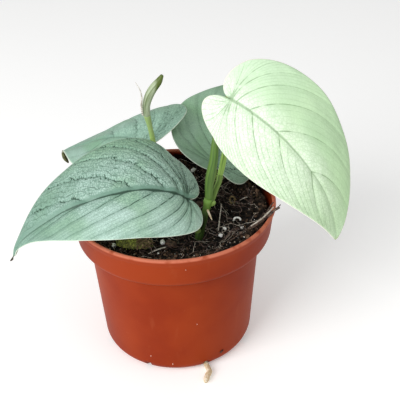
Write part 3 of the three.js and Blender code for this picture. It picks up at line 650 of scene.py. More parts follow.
# Painted shade: the old stems' skin is near black low down, for the shade under the leaves, and turns green
# from 49 to 58 mm along, just below the node.
shaded_old_stem = green_stalk("old green stem painted dark below", "#18210d", "#3b5422", "#6b8f3f", 49, 58)
main_stem = [[9, -24, 52, 2.1], [11, -26, 68, 2.2], [13.5, -27, 86, 2.3], [16.5, -26.5, 98, 2.2]]
main_stem += [[18.6, -25.6, 106, 2.2], [19.5, -25.2, 109.8, 2.6]]
piece("main_stem_skin", stalk(main_stem, ridge=node_rings(0.62, 0.975)), shaded_old_stem, ["main_stem"])
second_stem = [[-3, 2, 50, 2], [-5, 3, 70, 2.1], [-7.5, 4.5, 86, 2.2], [-9, 5.2, 98, 2.4]]
piece("second_stem_skin", stalk(second_stem, ridge=node_rings(0.8)), shaded_old_stem, ["second_stem"])

petiole_green = green_stalk("green petiole", "#4f6a30", "#7f9c4e")
sheath_green = green_stalk("sheathed petiole", "#42602a", "#5b7a36", "#7d9a4e", 38, 56)
young_green = green_stalk("young petiole", "#66833c", "#9cc05e", "#93ac6c", 26, 44)


def sheath_ridge(along, around):
    """The sheath's two free edges on the petiole's right side: two low ridges and the furrow between them,
    which fade out by mid-height."""
    fade = np.clip((0.62 - along) / 0.3, 0, 1)
    edges = np.exp(-(((around - 0.55) / 0.16) ** 2)) + np.exp(-(((around - 5.75) / 0.16) ** 2))
    furrow = np.exp(-((around / 0.25) ** 2)) + np.exp(-(((around - 2 * math.pi) / 0.25) ** 2))
    return 1 + fade * (0.14 * edges - 0.12 * furrow)


pale_petiole = [[19.6, -24.9, 110.4, 2.1], [20.2, -23.5, 121.3, 2.3], [22.7, -22, 132.8, 2.4]]
pale_petiole += [[23.7, -20.3, 141, 2.1], [26, -17.3, 152, 1.8], [28.8, -15.6, 161.5, 1.6]]
pale_petiole += [[30.9, -16.5, 166.9, 1.4], [31.4, -18.1, 168.3, 1.3]]
pale_petiole_mesh = stalk(pale_petiole, ridge=sheath_ridge)
piece("pale_petiole_skin", pale_petiole_mesh, sheath_green, ["pale_leaf_petiole"])

front_petiole = [[13.1, -30.8, 93, 1.7], [11.4, -33, 98, 1.8], [9.2, -33.6, 105, 1.7]]
front_petiole += [[7.8, -33, 110.6, 1.4], [8.3, -32.7, 114.5, 1.3]]
middle_petiole = [[17.5, -22.6, 97, 1.8], [18.8, -14, 99, 1.7], [21.4, -3, 101.8, 1.6]]
middle_petiole += [[24.4, 8.2, 103.6, 1.4], [25.8, 12.9, 105.4, 1.3]]
back_petiole = [[-10.4, 7.2, 98.9, 1.7], [-12.4, 9.2, 108, 1.7], [-14.3, 9.9, 117, 1.5]]
back_petiole += [[-14.5, 9.2, 123.4, 1.3]]
for where, route in (("front", front_petiole), ("middle", middle_petiole), ("back", back_petiole)):
    petiole_mesh = stalk(route, steps=50)
    piece(where + "_petiole_skin", petiole_mesh, petiole_green, [where + "_leaf_petiole"])

right_shoot = [[20.8, -24.4, 106.8, 1.3], [22, -22.6, 109, 1.5], [23.9, -18.8, 112, 1.6]]
right_shoot += [[26, -15.4, 115.6, 1.7], [26.6, -14, 117.8, 1.9]]
right_shoot_mesh = stalk(right_shoot, steps=40, ridge=node_rings(0.96))
piece("right_shoot_skin", right_shoot_mesh, petiole_green, ["right_shoot"])


def rolled(along, around):
    """A rolled leaf's spiral edge: the radius grows by an eighth round the stalk, then drops at the free
    edge, which winds a third of a turn from foot to tip."""
    turned = np.mod(around + 2.1 * along + 1.2, 2 * math.pi) / (2 * math.pi)
    return 0.94 + 0.13 * turned - 0.13 * np.clip((turned - 0.95) / 0.05, 0, 1)


right_leaf = [[26.8, -13.6, 118.4, 1.6], [28.1, -12.4, 123, 1.7], [29.3, -11, 129, 1.6]]
right_leaf += [[30.2, -9.6, 138, 1.1], [30.4, -8.8, 146, 0.4]]
right_leaf_mesh = stalk(right_leaf, sides=48, ridge=rolled)
piece("right_rolled_leaf", right_leaf_mesh, young_green, ["right_shoot_leaf"])

left_shoot = [[-8, 3.6, 98.9, 1.5], [-8.6, 5, 112, 1.6], [-9.6, 6.2, 129, 1.5], [-11.2, 5.8, 141, 1.5]]
left_shoot += [[-12.2, 5.1, 147.2, 1.9]]
piece("left_shoot_skin", stalk(left_shoot), young_green, ["left_shoot"])
bud_skin = green_stalk("rolled young leaf", "#6a7953", "#a4b192", "#54642a", 18, 22, 1.6)
left_leaf = [[-12.3, 5, 147.8, 2], [-12.2, 4.6, 153.8, 2.2], [-10.4, 4.4, 159.6, 2.4], [-7.9, 4.3, 164, 2.3]]
left_leaf += [[-4.8, 4, 168, 1.9], [-2.8, 3.8, 171.6, 0.9]]
left_leaf_mesh = stalk(left_leaf, sides=48, ridge=rolled)
piece("left_rolled_leaf", left_leaf_mesh, bud_skin, ["left_shoot_leaf"])

dry_skin = two_tone("dried leaf sheath", "#9d968a", "#d8d2c8", 1.2, {"Roughness": 0.7})
dry_sheath = [[-14.6, 2.6, 149, 0.4], [-14.9, 2.2, 155, 0.5], [-14.4, 1.6, 161, 0.4], [-15.2, 1.6, 165, 0.25]]
dry_sheath += [[-17.3, 2, 169, 0.12]]
piece("dry_sheath", stalk(dry_sheath, sides=12, steps=50), dry_skin, ["left_shoot_sheath"])

bud = [[21, -26.6, 106.6, 0.6], [21.8, -27.1, 107.8, 1], [22.4, -27.4, 109, 1], [22.6, -27.5, 110.2, 0.4]]
piece("stem_bud_skin", stalk(bud, sides=16, steps=24), petiole_green, ["stem_bud"])

# The roots
# Thick cream-coloured feeding roots. One has found a drain slot and grown out of the pot, and a short one
# sits on the stem in the air.

root_skin = two_tone("cream root skin", "#cdb48c", "#efe3ca", 2.5, {"Roughness": 0.6}, 0.0002)


def knobbly(along, around):
    """A root's uneven girth: slow swellings along it and a few narrow growth rings."""
    swell = 0.06 * np.sin(19 * along + 1) + 0.05 * np.sin(47 * along + 2 * around)
    rings = sum(0.1 * np.exp(-(((along - at) / 0.006) ** 2)) for at in (0.86, 0.9, 0.94))
    return 1 + swell - rings


drain_root = [[10.4, -28.8, 60, 0.9], [12, -34, 48, 1], [11, -36, 30, 1]]
drain_root += [[12, -34, 14, 1], [13.2, -36.5, 7, 1], [14.4, -39.6, 3.6, 1.2]]
drain_root += [[15.2, -41.8, 2.3, 1.5], [16.4, -45.4, 2.1, 1.7], [17, -48.4, 2.1, 1.9]]
drain_root += [[15.6, -51.6, 2.1, 1.8], [14.7, -54.6, 2, 1.6], [14.2, -56.6, 2, 1]]
piece("drain_root_skin", stalk(drain_root, steps=200, ridge=knobbly), root_skin, ["drain_root"])
aerial_root = [[18.6, -29.4, 105.8, 0.6], [19.6, -31.2, 103.6, 0.6], [20.8, -32.4, 101, 0.25]]
piece("aerial_root_skin", stalk(aerial_root, sides=16, steps=30), root_skin, ["aerial_root"])

# The loose sticks
# A dead forked twig lies across the rim with a straw beside it, and bits of root and straw lie on the soil.
# They are dry wood and dead root, dull and ridged lengthwise.

dead_twig = two_tone("dead brown twig", "#2e211c", "#755f52", 1.1, {"Roughness": 0.8}, 0.0004)
straw = two_tone("dry straw", "#a0968a", "#d9d1c6", 1.5, {"Roughness": 0.7})


def gnarled(along, around):
    """Dead wood's shrunken girth: lengthwise ridges and slow swellings."""
    return 1 + 0.12 * np.sin(3 * around + 9 * along) + 0.18 * np.sin(31 * along + 1) * np.sin(13 * along)


rim_twig = [[36.3, -30.6, 89.6, 0.7], [42.3, -28.3, 91.4, 0.8], [49.4, -25, 93.7, 0.8]]
rim_twig += [[54, -22.4, 96.4, 0.8], [58.6, -18, 96.6, 0.7], [60.2, -16.6, 96.3, 0.5]]
piece("rim_twig_bark", stalk(rim_twig, sides=14, steps=120, ridge=gnarled), dead_twig, ["rim_twig"])
TWIG_FORKS = [
    [[48, -25.7, 93.4, 0.5], [52, -20.5, 94.6, 0.45], [55, -15.5, 96.6, 0.4], [57.4, -11.8, 97, 0.3]],
    [[40, -29, 90.8, 0.5], [43, -26.6, 91.6, 0.4], [48, -21.6, 92.2, 0.35], [51.8, -15.8, 93, 0.25]],
    [[55.6, -21, 96.8, 0.45], [58.2, -19.4, 98, 0.35], [60.8, -16.6, 98.4, 0.25]],
    [[37, -30.4, 89.8, 0.45], [33, -33.4, 88.8, 0.4], [29, -36.6, 88.6, 0.3]],
]
for number, route in enumerate(TWIG_FORKS, 1):
    piece(f"twig_fork_{number}", stalk(route, sides=10, steps=50, ridge=gnarled), dead_twig)
rim_straw = [[42.6, -29.8, 93.9, 0.35], [48.5, -27, 96.2, 0.4]]
rim_straw += [[54.1, -21.9, 98.2, 0.4], [56.6, -18.8, 98.6, 0.3]]
rim_straw_mesh = stalk(rim_straw, sides=10, steps=60, ridge=gnarled)
piece("rim_straw_stem", rim_straw_mesh, straw, ["rim_straw"])
# Each row: x, y, rise over the CAD soil and radius of the CAD solid. The pieces lie 0.5 mm higher, clear of
# the lumps, and are a fifth thinner.
LYING = {
    "grey_stick": [[24.7, -23.8, 1.1, 0.4], [26.6, -10, 1.5, 0.45], [28.8, 5.2, 1.5, 0.4]],
    "pale_fibre": [[40.4, 10.6, 1, 0.35], [45, 12.6, 1.6, 0.35], [52.4, 10.8, 1, 0.3]],
    "front_fibre": [[-14.7, -44, 1, 0.35], [-9.1, -41.4, 1.8, 0.4], [-5, -39.3, 2, 0.35]],
}
for stick_name, route in LYING.items():
    route = [[x, y, cad_soil(x, y) + rise + 0.5, radius * 0.8] for x, y, rise, radius in route]
    stick_mesh = stalk(route, sides=10, steps=60, ridge=gnarled)
    piece(stick_name + "_stem", stick_mesh, straw, [stick_name])


def curl(middle, across, up, start, end, thick):
    """A route between two angles in degrees round an ellipse, whose half axes are across in X, and up."""
    angle = np.radians(np.linspace(start, end, 12))[:, None]
    points = np.array(middle) + np.cos(angle) * [across, 0, 0] + np.sin(angle) * np.array(up)
    return np.column_stack([points, np.full(12, thick)])


# A curled flake of perlite and the dry ring of a seed husk, right of the stem.
flake_route = curl([36.5, -12.2, 86.4], 1.9, [0, 1.5, 0.5], 195, -15, 0.55)
flake = stalk(flake_route, sides=14, steps=50, ridge=gnarled)
piece("curled_flake", flake, perlite, ["perlite_6"])
husk_skin = two_tone("dry seed husk", "#4d3f24", "#8f7c4f", 1.2, {"Roughness": 0.7})
husk_route = curl([35.6, 9, 86.4], 1.5, [0, 0.8, 1.9], -60, 265, 0.55)
husk = stalk(husk_route, sides=14, steps=70, ridge=gnarled)
piece("seed_husk", husk, husk_skin, ["bark_chip_3"])

# The leaves
# Heart-shaped blades that bend over the end of their petiole. The upper side is silvery because air lies
# under its skin, except along the sunken veins, which stay dark green. The veins arch towards the tip.

# The shape of each leaf. A midrib is the four points of a cubic curve, in mm. Pairs are for the left and the
# right half, seen from the notch, but a roll's are for the notch and the tip. Half widths are in mm, and roll
# and fold in degrees. Droop is the bend's curvature in thousandths per mm, and lift is how many mm the lobes
# rise. Veins are where the main veins meet the margin, in shares of its length. The other values place the
# handles of the margin's curves, in midrib lengths and half widths.
LEAVES = {
    "front_leaf": {
        "midrib": [[9.1, -32.7, 116.3], [-25.8, -48.2, 148.8], [-91.2, -42.5, 104.2], [-86.9, -46.3, 90]],
        "half_width": [29.6, 43], "roll": [21, 15], "fold": 4.7, "droop": 10.7, "lift": 0,
        "lobe": [0.65, 1.03], "lobe_back": 0.19, "widest": 0.24, "notch": 0.03,
        "draw": [0.63, 0.63], "tip_width": [0.05, 0.05],
        "veins": [
            [0.13, 0.27, 0.4, 0.5, 0.61, 0.71, 0.8, 0.89],
            [0.1, 0.21, 0.33, 0.45, 0.56, 0.66, 0.77, 0.87],
        ],
    },
    "pale_leaf": {
        "midrib": [[31.4, -20.4, 168], [48, -33.9, 164.1], [84.1, -55, 138], [84.6, -56.5, 100.6]],
        "half_width": [33.4, 27], "roll": [-57, -6], "fold": 0.9, "droop": 7.4, "lift": 0,
        "lobe": [1.15, 2.14], "lobe_back": 0.07, "widest": 0.31, "notch": 0.03,
        "draw": [0.56, 0.56], "tip_width": [0.57, 0.57],
        "veins": [
            [0.08, 0.18, 0.29, 0.41, 0.53, 0.65, 0.77, 0.88],
            [0.1, 0.2, 0.31, 0.43, 0.55, 0.67, 0.78, 0.88],
        ],
    },
    "back_leaf": {
        "midrib": [[-14, 9, 125.2], [-26.2, 17.5, 133.6], [-40.4, 27.2, 122.2], [-65.2, 28.2, 114.5]],
        "half_width": [30, 46], "roll": [33.9, -22.1], "fold": 2.6, "droop": 18.8, "lift": 4.2,
        "lobe": [1, 0.71], "lobe_back": 0.22, "widest": 0.21, "notch": 0.12,
        "draw": [0.85, 0.46], "tip_width": [0.6, 0.13],
        "veins": [
            [0.15, 0.3, 0.44, 0.58, 0.71, 0.84],
            [0.12, 0.26, 0.4, 0.54, 0.67, 0.81],
        ],
    },
    "middle_leaf": {
        "midrib": [[27.4, 13.2, 107.3], [27.5, 33.7, 114.8], [46, 59.8, 124.8], [59.1, 89.4, 132.7]],
        "half_width": [33.4, 27.9], "roll": [-39, -11], "fold": 4, "droop": 6.6, "lift": 1.2,
        "lobe": [1.03, 0.98], "lobe_back": 0.15, "widest": 0.23, "notch": 0.12,
        "draw": [0.6, 0.6], "tip_width": [0.16, 0.16],
        "veins": [
            [0.13, 0.27, 0.4, 0.52, 0.64, 0.76, 0.87],
            [0.12, 0.25, 0.38, 0.51, 0.63, 0.75, 0.87],
        ],
    },
}


def bezier(points, t):
    """Cubic curve: its four points weighted by (1-t)^3, 3t(1-t)^2, 3t^2(1-t) and t^3."""
    t = np.asarray(t, float)[..., None]
    a, b, c, d = np.array(points, float)
    return (1 - t) ** 3 * a + 3 * t * (1 - t) ** 2 * b + 3 * t**2 * (1 - t) * c + t**3 * d


def half_outline(leaf, side, share):
    """The margin at these shares of its length: two cubic curves from the notch (0, 0) round the lobe to the
    tip (1, 0), x in midrib lengths and y in half widths."""
    fine = np.linspace(0, 1, 400)
    lobe, widest = leaf["lobe"][side], [leaf["widest"], 1]
    to_lobe, round_lobe = [-0.12 * lobe, leaf["notch"]], [-leaf["lobe_back"] * lobe, 0.98]
    to_tip = [[leaf["draw"][side], 1], [0.82, leaf["tip_width"][side]], [1, 0]]
    first = bezier([[0, 0], to_lobe, round_lobe, widest], fine)
    line = np.concatenate([first, bezier([widest, *to_tip], fine)[1:]])
    run = np.concatenate([[0], np.cumsum(np.hypot(np.diff(line[:, 0]), 0.32 * np.diff(line[:, 1])))])
    return np.stack([np.interp(share * run[-1], run, line[:, k]) for k in (0, 1)], axis=-1)


def blade_points(leaf, x, y):
    """Where the flat leaf's point, x midrib lengths along and y mm to the right, lies on the bent blade. The
    midrib is a cubic curve by its length. Each half is folded up by an angle, and droops on a circle."""
    fine = np.linspace(0, 1, 401)
    run = distances(bezier(leaf["midrib"], fine))
    t = np.interp(np.clip(x, 0, 1) * run[-1], run, fine)
    before, after = [bezier(leaf["midrib"], np.clip(t + step, 0, 1)) for step in (-1e-4, 1e-4)]
    along = (after - before) / np.linalg.norm(after - before, axis=-1)[..., None]
    place = bezier(leaf["midrib"], t) + along * (np.minimum(x, 0) * run[-1])[..., None]
    level = np.cross(along, [0, 0, 1.0])
    level /= np.linalg.norm(level, axis=-1)[..., None]
    above = np.cross(level, along)
    roll = np.radians(leaf["roll"][0] + (leaf["roll"][1] - leaf["roll"][0]) * np.clip(x, -0.4, 1))[..., None]
    right = level * np.cos(roll) + above * np.sin(roll)
    up = above * np.cos(roll) - level * np.sin(roll)
    bend, fold = leaf["droop"] / 1000, math.radians(leaf["fold"])
    out = np.sin(bend * np.abs(y)) / bend
    down = (1 - np.cos(bend * np.abs(y))) / bend
    near_lobe = np.clip((0.15 - x) / 0.35, 0, 1) ** 2
    lift = leaf["lift"] * near_lobe * np.clip(np.abs(y) / (0.8 * leaf["half_width"][0]), 0, 1)
    aside = np.sign(y) * (out * math.cos(fold) + down * math.sin(fold))
    raised = out * math.sin(fold) - down * math.cos(fold) + lift
    return place + right * aside[..., None] + up * raised[..., None]


def ringed(values):
    """Values on the blade's grid laid out like its rings: top, right brim, bottom backwards, left brim."""
    return np.concatenate([values, values[:, -1:], values[:, ::-1], values[:, :1]], axis=1)


def unit(rows):
    """Each row scaled to length 1."""
    return rows / (np.linalg.norm(rows, axis=-1, keepdims=True) + 1e-12)


def blade_mesh(leaf, furrows, thickness=0.55):
    """The blade as closed rings from notch to tip, one for each row. A row runs like a vein: it leaves the
    midrib at the fourth power of the share where it meets the margin, on a quadratic curve that bends over
    towards the tip. Attributes: the flat place in mm; the row counted in main veins, the mm from one main
    vein to the next, and the share of the way to the margin; and the mm to the margin, the share of the
    midrib's length, and 1 on the underside."""
    midrib = bezier(leaf["midrib"], np.linspace(0, 1, 401))
    length = np.linalg.norm(np.diff(midrib, axis=0), axis=1).sum()
    fine = np.linspace(0, 1, 1001)
    margin_x = np.mean([half_outline(leaf, side, fine)[:, 0] for side in (0, 1)], axis=0)
    start_x = 0.02 * fine + 0.98 * np.clip(margin_x, 0, 1) ** 4
    rows = np.interp(np.linspace(0.003, 0.997, 200), 0.65 * fine + 0.35 * start_x, fine)
    columns = np.linspace(0, 1, 50) ** 1.25
    s = columns[None, :, None]
    half = []
    for side, sign in enumerate((-1, 1)):
        edge = half_outline(leaf, side, rows) * [length, leaf["half_width"][side]]
        start = np.stack([np.interp(rows, fine, start_x) * length, 0 * rows], axis=-1)
        forward = 0.15 + 0.2 * eased(np.clip((edge[:, 0] / length - 0.25) / 0.4, 0, 1))
        bend_x = start[:, 0] + forward * (edge[:, 0] - start[:, 0])
        control = np.stack([bend_x, (0.6 + 0.85 * forward) * edge[:, 1]], axis=-1)
        flat = (1 - s) ** 2 * start[:, None] + 2 * s * (1 - s) * control[:, None] + s**2 * edge[:, None]
        counted = np.interp(rows, [0, *leaf["veins"][side], 1], np.arange(len(leaf["veins"][side]) + 2))
        per_vein = np.gradient(flat, counted, axis=0)
        outwards = np.gradient(flat, columns, axis=1)
        area = per_vein[..., 0] * outwards[..., 1] - per_vein[..., 1] * outwards[..., 0]
        spacing = np.abs(area) / (np.linalg.norm(outwards, axis=-1) + 1e-9)
        way = np.cumsum(np.linalg.norm(np.diff(flat, axis=1, prepend=flat[:, :1]), axis=-1), axis=1)
        counted = counted[:, None] + 0 * spacing
        half.append([flat * [1, sign], counted, spacing, columns + 0 * spacing, way[:, -1:] - way])
    both = [np.concatenate([left[:, :0:-1], right], axis=1) for left, right in zip(*half)]
    flat, counted, spacing, share, margin = both
    x, y = flat[..., 0], flat[..., 1]
    surface = blade_points(leaf, x / length, y)
    normal = unit(np.cross(np.gradient(surface, axis=1), np.gradient(surface, axis=0)))
    from_vein = np.abs(counted - np.round(counted)) * spacing
    vein = np.exp(-((from_vein / (1.8 - 0.9 * share)) ** 2)) * (1 - 0.5 * share)
    middle = np.exp(-((y / (2.9 - 1.9 * np.clip(x / length, 0, 1))) ** 2))
    crumple = 0.4 * unevenness(x, y, 9, 5) + 0.12 * unevenness(x, y, 3.5, 6)
    inland = np.clip(margin / 6, 0, 1)
    relief = crumple * inland - furrows * (0.7 * vein * inland + 0.9 * middle)
    relief = relief + 0.7 * (1 - inland) * unevenness(x, y, 17, 7)
    thin = 0.5 * thickness * np.clip(0.35 + margin / 1.5, 0.35, 1)
    top = surface + normal * (relief + thin)[..., None]
    bottom = surface + normal * (relief - thin - 0.5 * middle)[..., None]
    brims = []
    for last, inner in ((-1, -2), (0, 1)):
        outwards = unit(surface[:, last] - surface[:, inner])
        brims.append((top[:, last] + bottom[:, last]) / 2 + 0.25 * thickness * outwards)
    rings = np.concatenate([top, brims[0][:, None], bottom[:, ::-1], brims[1][:, None]], axis=1)
    points = np.concatenate([rings.reshape(-1, 3), [rings[0].mean(axis=0), rings[-1].mean(axis=0)]])
    under = np.concatenate([0 * x, 0.5 + 0 * x[:, :1], 1 + 0 * x, 0.5 + 0 * x[:, :1]], axis=1)
    threes = {
        "flat_place": [ringed(x), ringed(y), 0 * under],
        "vein_place": [ringed(counted), ringed(spacing), ringed(share)],
        "leaf_marks": [ringed(margin), ringed(x / length), under],
    }
    attributes = {key: np.stack(value, axis=-1) for key, value in threes.items()}
    attributes = {key: np.concatenate([a.reshape(-1, 3), a[[0, -1], 0]]) for key, a in attributes.items()}
    return points, closed_faces(*rings.shape[:2]), attributes


def leaf_skin(name, tones, net_size, shares, values):
    """A leaf's skin. The tones are hex colours by name, and net_size is the width of a silver cell in mm. The
    shares are how strongly the net between the cells, the flecks, the fine veins, the main veins, the bands
    beside them (and three times as strongly the painted shade in the midrib's furrow) and the green patches
    show, and how ragged the veins are."""
    skin = finish_named(name, values)
    place = node(skin, "Attribute", {}, attribute_name="flat_place")["Vector"]
    vein_place = node(skin, "Attribute", {}, attribute_name="vein_place")["Vector"]
    marks = node(skin, "Attribute", {}, attribute_name="leaf_marks")["Vector"]
    _, side, _ = node(skin, "SeparateXYZ", {0: place})
    counted, spacing, share = node(skin, "SeparateXYZ", {0: vein_place})
    margin, along, underside = node(skin, "SeparateXYZ", {0: marks})

    # The silver and the green: clouds 8 and 24 mm across. The far side is greener, the near side gets a
    # painted tone for how light falls on that half, lighter on the silver leaves and darker on the middle and
    # pale ones, and the tone shifts from the notch to the tip. A layer is a share and the colour that it
    # brings.
    cloud = node(skin, "TexNoise", {"Vector": place, "Scale": 1 / 8, "Detail": 4})["Fac"]
    to_mid = node(skin, "MapRange", {0: cloud, 1: 0.35, 2: 0.65}, **SMOOTH)[0]
    colour = node(skin, "Mix", {0: to_mid, 6: tones["light"], 7: tones["mid"]}, **BLEND)[2]
    layers = []
    # Painted light and shade: the near half's tone.
    to_near = node(skin, "MapRange", {0: side, 1: -14, 2: -2, 3: 0.8, 4: 0}, **SMOOTH)[0]
    layers += [(to_near, tones["near side"])]
    wide_cloud = node(skin, "TexNoise", {"Vector": place, "Scale": 1 / 24, "Detail": 2})["Fac"]
    green_patch = node(skin, "MapRange", {0: wide_cloud, 1: 0.42, 2: 0.7, 4: shares["green"]}, **SMOOTH)[0]
    far_edge = node(skin, "MapRange", {0: side, 1: 14, 2: 40, 4: 0.75}, **SMOOTH)[0]
    to_green = node(skin, "Math", {0: green_patch, 1: far_edge}, operation="MAXIMUM")[0]
    layers += [(to_green, tones["green"])]
    to_base = node(skin, "MapRange", {0: along, 1: -0.15, 2: 0.36, 3: 0.6, 4: 0}, **SMOOTH)[0]
    layers += [(to_base, tones["base"])]
    to_end = node(skin, "MapRange", {0: along, 1: 0.3, 2: 0.95, 4: 0.6}, **SMOOTH)[0]
    layers += [(to_end, tones["end"])]

    # The silver lies in cells one to two millimetres across, with a darker net between them, which is
    # fainter on the near side.
    net_inputs = {"Vector": place, "Scale": 1 / net_size}
    cells = node(skin, "TexVoronoi", net_inputs, feature="DISTANCE_TO_EDGE")["Distance"]
    net = node(skin, "MapRange", {0: cells, 1: 0.02, 2: 0.16, 3: shares["net"], 4: 0}, **SMOOTH)[0]
    fainter = node(skin, "MapRange", {0: side, 1: -14, 2: -2, 3: 0.5}, **SMOOTH)[0]
    net = node(skin, "Math", {0: net, 1: fainter}, operation="MULTIPLY")[0]
    layers += [(net, tones["halo"])]

    # How many mm a spot is from the nearest main vein, and from the nearest of the fine ones between them.
    # The veins wander and have ragged edges, more so on the far half.
    wander = node(skin, "TexNoise", {"Vector": place, "Scale": 1 / 9, "Detail": 2})["Fac"]
    astray = 0.4 * shares["ragged"]
    aside = node(skin, "MapRange", {0: wander, 3: -astray, 4: astray})[0]
    steadier = node(skin, "MapRange", {0: side, 1: -2, 2: 6, 3: 0.3}, **SMOOTH)[0]
    aside = node(skin, "Math", {0: aside, 1: steadier}, operation="MULTIPLY")[0]
    counted = node(skin, "Math", {0: counted, 1: aside}, operation="ADD")[0]
    from_main = node(skin, "Math", {0: counted, 1: 0.5}, operation="PINGPONG")[0]
    from_main = node(skin, "Math", {0: from_main, 1: spacing}, operation="MULTIPLY")[0]
    rags = node(skin, "TexNoise", {"Vector": place, "Scale": 1 / 1.5, "Detail": 3})["Fac"]
    ragged = node(skin, "MapRange", {0: rags, 3: -shares["ragged"], 4: shares["ragged"]})[0]
    far_half = node(skin, "MapRange", {0: side, 1: -2, 2: 6, 3: 0.15}, **SMOOTH)[0]
    ragged = node(skin, "Math", {0: ragged, 1: far_half}, operation="MULTIPLY")[0]
    from_main = node(skin, "Math", {0: ragged, 1: 0.7, 2: from_main}, operation="MULTIPLY_ADD")[0]
    from_fine = node(skin, "Math", {0: counted, 1: 1 / 8}, operation="PINGPONG")[0]
    from_fine = node(skin, "Math", {0: from_fine, 1: spacing}, operation="MULTIPLY")[0]
    gaps = node(skin, "TexNoise", {"Vector": place, "Scale": 1 / 5, "Detail": 4})["Fac"]
    unbroken = node(skin, "MapRange", {0: gaps, 1: 0.36, 2: 0.56, 3: 0.3}, **SMOOTH)[0]

    # The silver fails beside the main veins: a soft darker band, and on the far half dark flecks across it.
    beside = {0: from_main, 1: 0.3, 2: 2.4, 3: shares["bands"], 4: 0}
    band = node(skin, "MapRange", beside, **SMOOTH)[0]
    layers += [(band, tones["halo"])]
    crosswise = node(skin, "Mapping", {"Vector": place, "Scale": (1.15, 0.46, 0.77)})["Vector"]
    stitches = node(skin, "TexNoise", {"Vector": crosswise, "Scale": 1, "Detail": 2})["Fac"]
    stitch = node(skin, "MapRange", {0: stitches, 1: 0.53, 2: 0.6, 4: shares["flecks"]}, **SMOOTH)[0]
    near_vein = node(skin, "MapRange", {0: from_main, 1: 0.3, 2: 2, 3: 1, 4: 0.28}, **SMOOTH)[0]
    fleck = node(skin, "Math", {0: stitch, 1: near_vein}, operation="MULTIPLY")[0]
    fleck = node(skin, "Math", {0: fleck, 1: far_half}, operation="MULTIPLY")[0]
    layers += [(fleck, tones["vein"])]

    # Fine veins 0.2 mm wide, and main veins that thin out from the midrib to the margin.
    fine_inputs = {0: from_fine, 1: 0.08, 2: 0.32, 3: shares["fine veins"], 4: 0}
    fine_vein = node(skin, "MapRange", fine_inputs, **SMOOTH)[0]
    fine_vein = node(skin, "Math", {0: fine_vein, 1: unbroken}, operation="MULTIPLY")[0]
    clearer = node(skin, "MapRange", {0: side, 1: -2, 2: 6, 3: 0.45}, **SMOOTH)[0]
    fine_vein = node(skin, "Math", {0: fine_vein, 1: clearer}, operation="MULTIPLY")[0]
    layers += [(fine_vein, tones["vein"])]
    narrowed = node(skin, "Math", {0: share, 1: 0.45, 2: from_main}, operation="MULTIPLY_ADD")[0]
    main_inputs = {0: narrowed, 1: 0.2, 2: 0.55, 3: shares["main veins"], 4: 0}
    main_vein = node(skin, "MapRange", main_inputs, **SMOOTH)[0]
    main_vein = node(skin, "Math", {0: main_vein, 1: unbroken}, operation="MULTIPLY")[0]
    layers += [(main_vein, tones["vein"])]

    # The midrib: a dark line, and painted shade in the soft furrow beside it, which lies mostly on its far
    # side. Both narrow to the tip.
    furrow_side = node(skin, "Math", {0: side, 1: 1.2}, operation="SUBTRACT")[0]
    from_furrow_shade = node(skin, "Math", {0: furrow_side}, operation="ABSOLUTE")[0]
    from_furrow_shade = node(skin, "Math", {0: along, 1: 1.2, 2: from_furrow_shade}, operation="MULTIPLY_ADD")[0]
    from_furrow_shade = node(skin, "Math", {0: ragged, 1: 2, 2: from_furrow_shade}, operation="MULTIPLY_ADD")[0]
    furrow_shade_inputs = {0: from_furrow_shade, 1: 0.9, 2: 2.9, 3: min(0.9, 3 * shares["bands"]), 4: 0}
    furrow = node(skin, "MapRange", furrow_shade_inputs, **SMOOTH)[0]
    layers += [(furrow, tones["halo"])]
    from_middle = node(skin, "Math", {0: side}, operation="ABSOLUTE")[0]
    from_middle = node(skin, "Math", {0: along, 1: 0.9, 2: from_middle}, operation="MULTIPLY_ADD")[0]
    from_middle = node(skin, "Math", {0: ragged, 1: 0.8, 2: from_middle}, operation="MULTIPLY_ADD")[0]
    middle_inputs = {0: from_middle, 1: 0.35, 2: 1.3, 3: shares["main veins"], 4: 0}
    middle = node(skin, "MapRange", middle_inputs, **SMOOTH)[0]
    layers += [(middle, tones["vein"])]

    # The dull underside with raised paler veins, then the thin margin, pale partly in its own colour and
    # partly as a painted highlight where the edge catches light, and the dry tip on both sides.
    under_vein = node(skin, "MapRange", {0: from_main, 1: 0.2, 2: 0.9, 3: 0.4, 4: 0}, **SMOOTH)[0]
    under = node(skin, "Mix", {0: under_vein, 6: tones["underside"], 7: tones["light"]}, **BLEND)[2]
    below = node(skin, "MapRange", {0: underside, 1: 0.55, 2: 0.8}, **SMOOTH)[0]
    layers += [(below, under)]
    edge = node(skin, "MapRange", {0: margin, 1: 0.15, 2: 0.75, 3: 0.8, 4: 0}, **SMOOTH)[0]
    layers += [(edge, tones["margin"])]
    dark_tip = node(skin, "MapRange", {0: along, 1: 0.965, 2: 0.995, 4: 0.8}, **SMOOTH)[0]
    layers += [(dark_tip, tones["tip"])]
    for amount, tone in layers:
        colour = node(skin, "Mix", {0: amount, 6: colour, 7: tone}, **BLEND)[2]
    relief = node(skin, "Bump", {"Strength": 0.3, "Distance": 0.0003, "Height": cells})["Normal"]
    wire(skin, {"Base Color": colour, "Normal": relief})
    return skin


